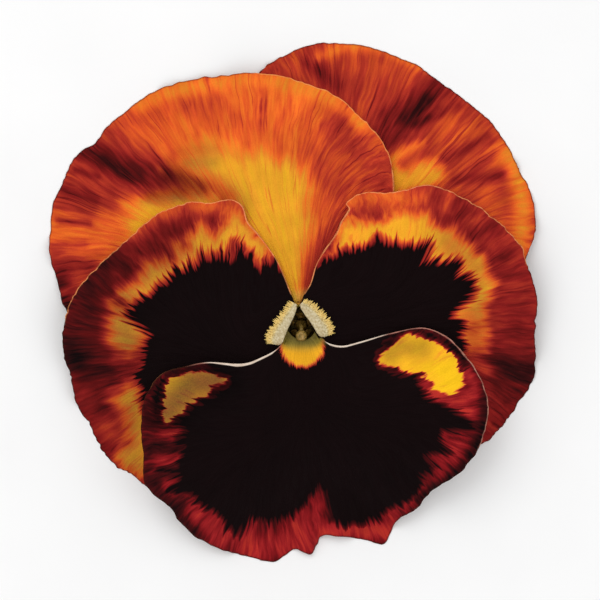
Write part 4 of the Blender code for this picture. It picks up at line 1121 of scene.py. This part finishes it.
def build_beard(petal, name, skin, seed):
    """The pad of hairs at the foot of a side petal."""
    path, rows = smooth_path([place for *place, _ in petal.beard], 12)
    width = np.interp(np.arange(len(path)), rows, [wide for *_, wide in petal.beard])
    tangent = np.gradient(path, axis=0)
    side = unit(np.column_stack([-tangent[:, 1], tangent[:, 0]]))
    side *= np.where(np.sum(side * path, axis=1) < 0.0, -1.0, 1.0)[:, None]
    share = even(len(path))

    # The pad is thick in its middle and runs out at both ends
    swell = np.sin(math.pi * (0.12 + 0.76 * share)) ** 0.6
    half = width * np.clip(3.2 * swell - 1.2, 0.3, 1.0)
    level = BEARD_HEIGHT - 0.25 * share ** 4
    angles = circle(BEARD_SIDES)
    rings = []
    for k in range(len(path)):
        flat = path[k] + np.cos(angles)[:, None] * 0.82 * half[k] * side[k]
        rings.append(np.column_stack([flat, level[k] + 0.42 * swell[k] * np.sin(angles)]))
    parts = [rings_mesh(rings)]
    bare = np.zeros(len(parts[0][0]))
    facts = [{"tip": bare, "outer": bare}]

    # A hair leans by 1 on the pad's outer side and by -0.5 on its inner one, and most stand outside
    tip = np.append(np.repeat(HAIR_STEPS, HAIR_SIDES), 1.0)
    rng = np.random.default_rng(seed)
    for _ in range(HAIR_COUNT):
        row = rng.uniform(0.5, len(path) - 1.5)
        at = int(row)
        lean = 1.0 - 1.5 * rng.random() ** 1.4
        outwards = max(0.0, lean)
        foot = path[at] + (path[at + 1] - path[at]) * (row - at) + lean * 0.86 * half[at] * side[at]
        rise = level[at] + 0.40 * swell[at] * math.sqrt(max(0.0, 1.0 - lean * lean)) - 0.1
        aim = np.append(side[at] * (0.25 + 0.9 * lean), 0.75 - 0.6 * outwards)
        aim = unit(aim + rng.normal(0.0, HAIR_SCATTER, 3))
        size = rng.uniform(*HAIR_LENGTH) * (1.0 + 2.2 * outwards ** 4)
        thick = rng.uniform(*HAIR_RADIUS) * (1.0 + 0.5 * outwards ** 2)
        steps = np.array(HAIR_STEPS)[:, None]
        line = np.append(foot, rise) + aim * size * steps + np.array([0.0, 0.0, -HAIR_DROOP]) * steps ** 2
        hair = tube_rings(line, thick * np.array(HAIR_TAPER), HAIR_SIDES)
        parts.append(rings_mesh(hair, closed_start=False))
        facts.append({"tip": tip, "outer": np.full(len(tip), min(1.0, max(0.0, 0.1 + 1.1 * lean)))})
    add_piece(name, *join_meshes(*parts), skin, petal.slot, facts=join_facts(*facts))


def sepal_grid(angle, layer):
    """Mid surface of a sepal: ear at the stalk, waist by the receptacle, blade under the petals."""
    under = [dome(radius) + (layer - 1.0) * LAYER_STEP for radius in SEPAL_STATIONS]
    under[0] = 0.5 * (under[0] + 6.9 + 0.6 * layer)
    path, _ = smooth_path([*SEPAL_EAR, *zip(SEPAL_STATIONS, under)], 10)
    share = even(len(path))
    half = 0.5 * np.interp(share, *zip(*SEPAL_WIDTHS))
    half = np.convolve(np.pad(half, 4, mode="edge"), np.ones(9) / 9.0, mode="valid")
    half *= np.sqrt(np.clip(share / 0.07, 0.03, 1.0) * np.clip((1.0 - share) / 0.04, 0.03, 1.0))
    rib, share = np.meshgrid(np.linspace(-1.0, 1.0, SEPAL_COLUMNS), share)
    half = half[:, None]
    fold = path[:, 1:] - 0.12 * half * (1.0 - rib ** 2)
    return np.stack([*turned(path[:, :1], half * rib, angle), fold], axis=2), rib, share


def build_calyx():
    """Five sepals, each with a flat foot that joins it to the receptacle."""
    skin = leaf_skin("sepal_skin", (62, 96, 34), (118, 150, 66))
    around = circle(SEPAL_FOOT_SIDES)
    for k, (angle, layer) in enumerate(SEPALS):
        grid, rib, share = sepal_grid(angle, layer)
        blade = {"rib": np.tile(rib.ravel(), 2), "outward": 6.0 * np.tile(share.ravel(), 2)}
        rings = []
        for reach, height, wide in SEPAL_FOOT:
            plan = turned(reach, wide * np.cos(around), angle)
            rings.append(np.column_stack([*plan, height + 0.3 * np.sin(around)]))
        foot = ring_places(0.5 + 0.4 * np.cos(around), [1.4, 1.7, 2.0, 2.4])
        verts, faces = join_meshes(sheet(grid, 0.5 - 0.22 * rib ** 2), rings_mesh(rings))
        add_piece(f"fine_sepal_{k + 1}", verts, faces, skin, "sepal_green", [f"sepal_{k + 1}"],
                  join_facts(blade, foot))


def build_stalk():
    """The receptacle with its short cut stalk."""
    skin = leaf_skin("stalk_skin", (92, 122, 52), (150, 176, 96))
    profile, _ = smooth_path(SEAT_PROFILE, 5)
    angles = circle(SEAT_SIDES)
    lobes = 1.0 + 0.02 * np.cos(5.0 * angles)
    seat = [level_ring(angles, radius * lobes, RECEPTACLE_TOP - drop) for radius, drop in profile[::-1]]
    line, _ = smooth_path([(*turned(reach, 0.0, STALK_ANGLE), height) for reach, height in STALK_COURSE], 9)
    stalk = tube_rings(line, [STALK_RADIUS] * len(line), STALK_SIDES, lobes=4, depth=0.1)
    stalk = [np.column_stack([ring[:, :2], np.maximum(ring[:, 2], 0.05)]) for ring in stalk]
    verts, faces = join_meshes(rings_mesh(seat), rings_mesh(stalk))
    facts = join_facts(ring_places(angles * 2.0, even(len(seat))),
                       ring_places(np.linspace(0.4, 12.0, STALK_SIDES), 4.0 * even(len(stalk))))
    facts["inner"] = ease(verts[:, 2], RECEPTACLE_TOP - 0.5, RECEPTACLE_TOP - 0.1)
    add_piece("fine_receptacle", verts, faces, skin, "stalk_green", ["receptacle"], facts)


def build_spur():
    """The lower petal's hollow spur, seen from behind."""
    skin = leaf_skin("spur_skin", (128, 104, 78), (186, 168, 120))
    line, rows = smooth_path(SPUR_COURSE, 10)
    radii = np.interp(np.arange(len(line)), rows, SPUR_RADII)
    rings = tube_rings(line, radii, SPUR_SIDES, lobes=6, depth=0.05)
    facts = ring_places(np.linspace(0.4, 12.0, SPUR_SIDES), 4.0 * even(len(line)))
    add_piece("spur", *rings_mesh(rings), skin, LOWER.slot, facts=facts)


def build_pistil():
    """Ovary, style and hollow stigma head."""
    skin = Skin("pistil_skin")
    cells = skin.grain(3000.0, 3.0)
    colour = skin.ramp(cells, (0.3, 96, 84, 30), (0.5, 142, 112, 52), (0.7, 176, 140, 74))
    skin.bump(cells, 0.00008, 0.6)
    material = skin.finish(colour, 0.45, 0.4)
    line, _ = smooth_path(PISTIL_COURSE, 6)
    radii = np.interp(even(len(line)), *zip(*PISTIL_RADII))
    x, y, z = STIGMA_PLACE
    slopes = np.linspace(-1.5, 0.95, 14)
    profile = [(STIGMA_RADIUS * math.cos(t), STIGMA_RADIUS * math.sin(t)) for t in slopes]
    head = []
    for reach, rise in profile + STIGMA_MOUTH:
        head.append(level_ring(circle(STIGMA_SIDES), reach, z + rise, x, y - 0.18 * max(0.0, rise)))
    verts, faces = join_meshes(rings_mesh(tube_rings(line, radii, PISTIL_SIDES)), rings_mesh(head))
    verts[:, 2] += ORGAN_BASE
    add_piece("fine_pistil", verts, faces, material, "pistil_green", ["pistil"])


def build_stamens():
    """Five stamens that close round the ovary."""
    skin = Skin("stamen_skin")
    cells = skin.grain(4000.0)
    pale = skin.ramp(cells, (0.35, 150, 120, 66), (0.65, 196, 168, 104))
    scale = skin.ramp(cells, (0.35, 96, 70, 28), (0.65, 140, 108, 48))
    skin.bump(cells, 0.00006, 0.6)
    colour = skin.blend(skin.step(skin.attribute("outward"), 0.72, 0.82), pale, scale)
    material = skin.finish(colour, 0.62, 0.3)
    share, t = even(STAMEN_ROWS)[:, None], np.linspace(-1.0, 1.0, STAMEN_COLUMNS)[None]
    half = np.radians(28.0 - 11.0 * share) * (1.0 - 0.55 * share ** 4)
    reach = STAMEN_REACH - 0.5 * share ** 2.5 + 0.05 * np.cos(FULL_TURN * t) * (1.0 - share ** 4)
    height = ORGAN_BASE + 0.05 + STAMEN_HEIGHT * share - 0.5 * t ** 2 * share ** 3
    facts = {"outward": np.tile(np.repeat(share, STAMEN_COLUMNS), 2)}
    for k, angle in enumerate(STAMEN_ANGLES):
        turn = math.radians(angle) + half * t
        grid = np.stack([reach * np.cos(turn), reach * np.sin(turn), height], axis=2)
        verts, faces = sheet(grid, np.full(grid.shape[:2], STAMEN_THICKNESS))
        add_piece(f"fine_stamen_{k + 1}", verts, faces, material, "stamen_tan", [f"stamen_{k + 1}"], facts)


def build_stage():
    """Pale floor, soft light and the camera, which looks straight down on the face."""
    scene = bpy.context.scene
    skin = Skin("floor")
    pale = skin.finish(skin.curve(skin.grain(60.0), [(0.3, 0.90), (0.7, 0.92)]), 0.9, 0.1)
    corners = [(FLOOR_REACH * x, FLOOR_REACH * y, 0.0) for x, y in ((-1, -1), (1, -1), (1, 1), (-1, 1))]
    floor = linked_mesh("floor", corners, [(0, 1, 2, 3)], pale)

    world = bpy.data.worlds.new("studio")
    world.use_nodes = True
    backdrop = world.node_tree.nodes["Background"]
    backdrop.inputs[0].default_value = (1.0, 1.0, 1.0, 1.0)
    backdrop.inputs[1].default_value = SKY_STRENGTH
    scene.world = world
    for name, (x, y, z), size, power in LAMPS:
        light = bpy.data.lights.new(name, "AREA")
        light.size = size
        light.energy = power
        lamp = linked(name, light)
        lamp.location = (x, y, z)
        lamp.rotation_euler = (math.atan2(math.hypot(x, y), z), 0.0, math.atan2(-y, -x) - math.pi / 2.0)

    lens = bpy.data.cameras.new("camera")
    lens.sensor_width = SENSOR_WIDTH
    lens.lens = FOCAL_LENGTH
    camera = linked("camera", lens)
    camera.location = (*PICTURE_MIDDLE, SIGHT_HEIGHT + PICTURE_WIDTH * FOCAL_LENGTH / SENSOR_WIDTH)
    scene.camera = camera
    scene.view_settings.view_transform = "Standard"


for one in PETALS:
    build_petal(one)
beard_hairs = beard_skin()
build_beard(SIDE_LEFT, "beard_left", beard_hairs, 5)
build_beard(SIDE_RIGHT, "beard_right", beard_hairs, 6)
build_calyx()
build_stalk()
build_spur()
build_pistil()
build_stamens()
build_stage()
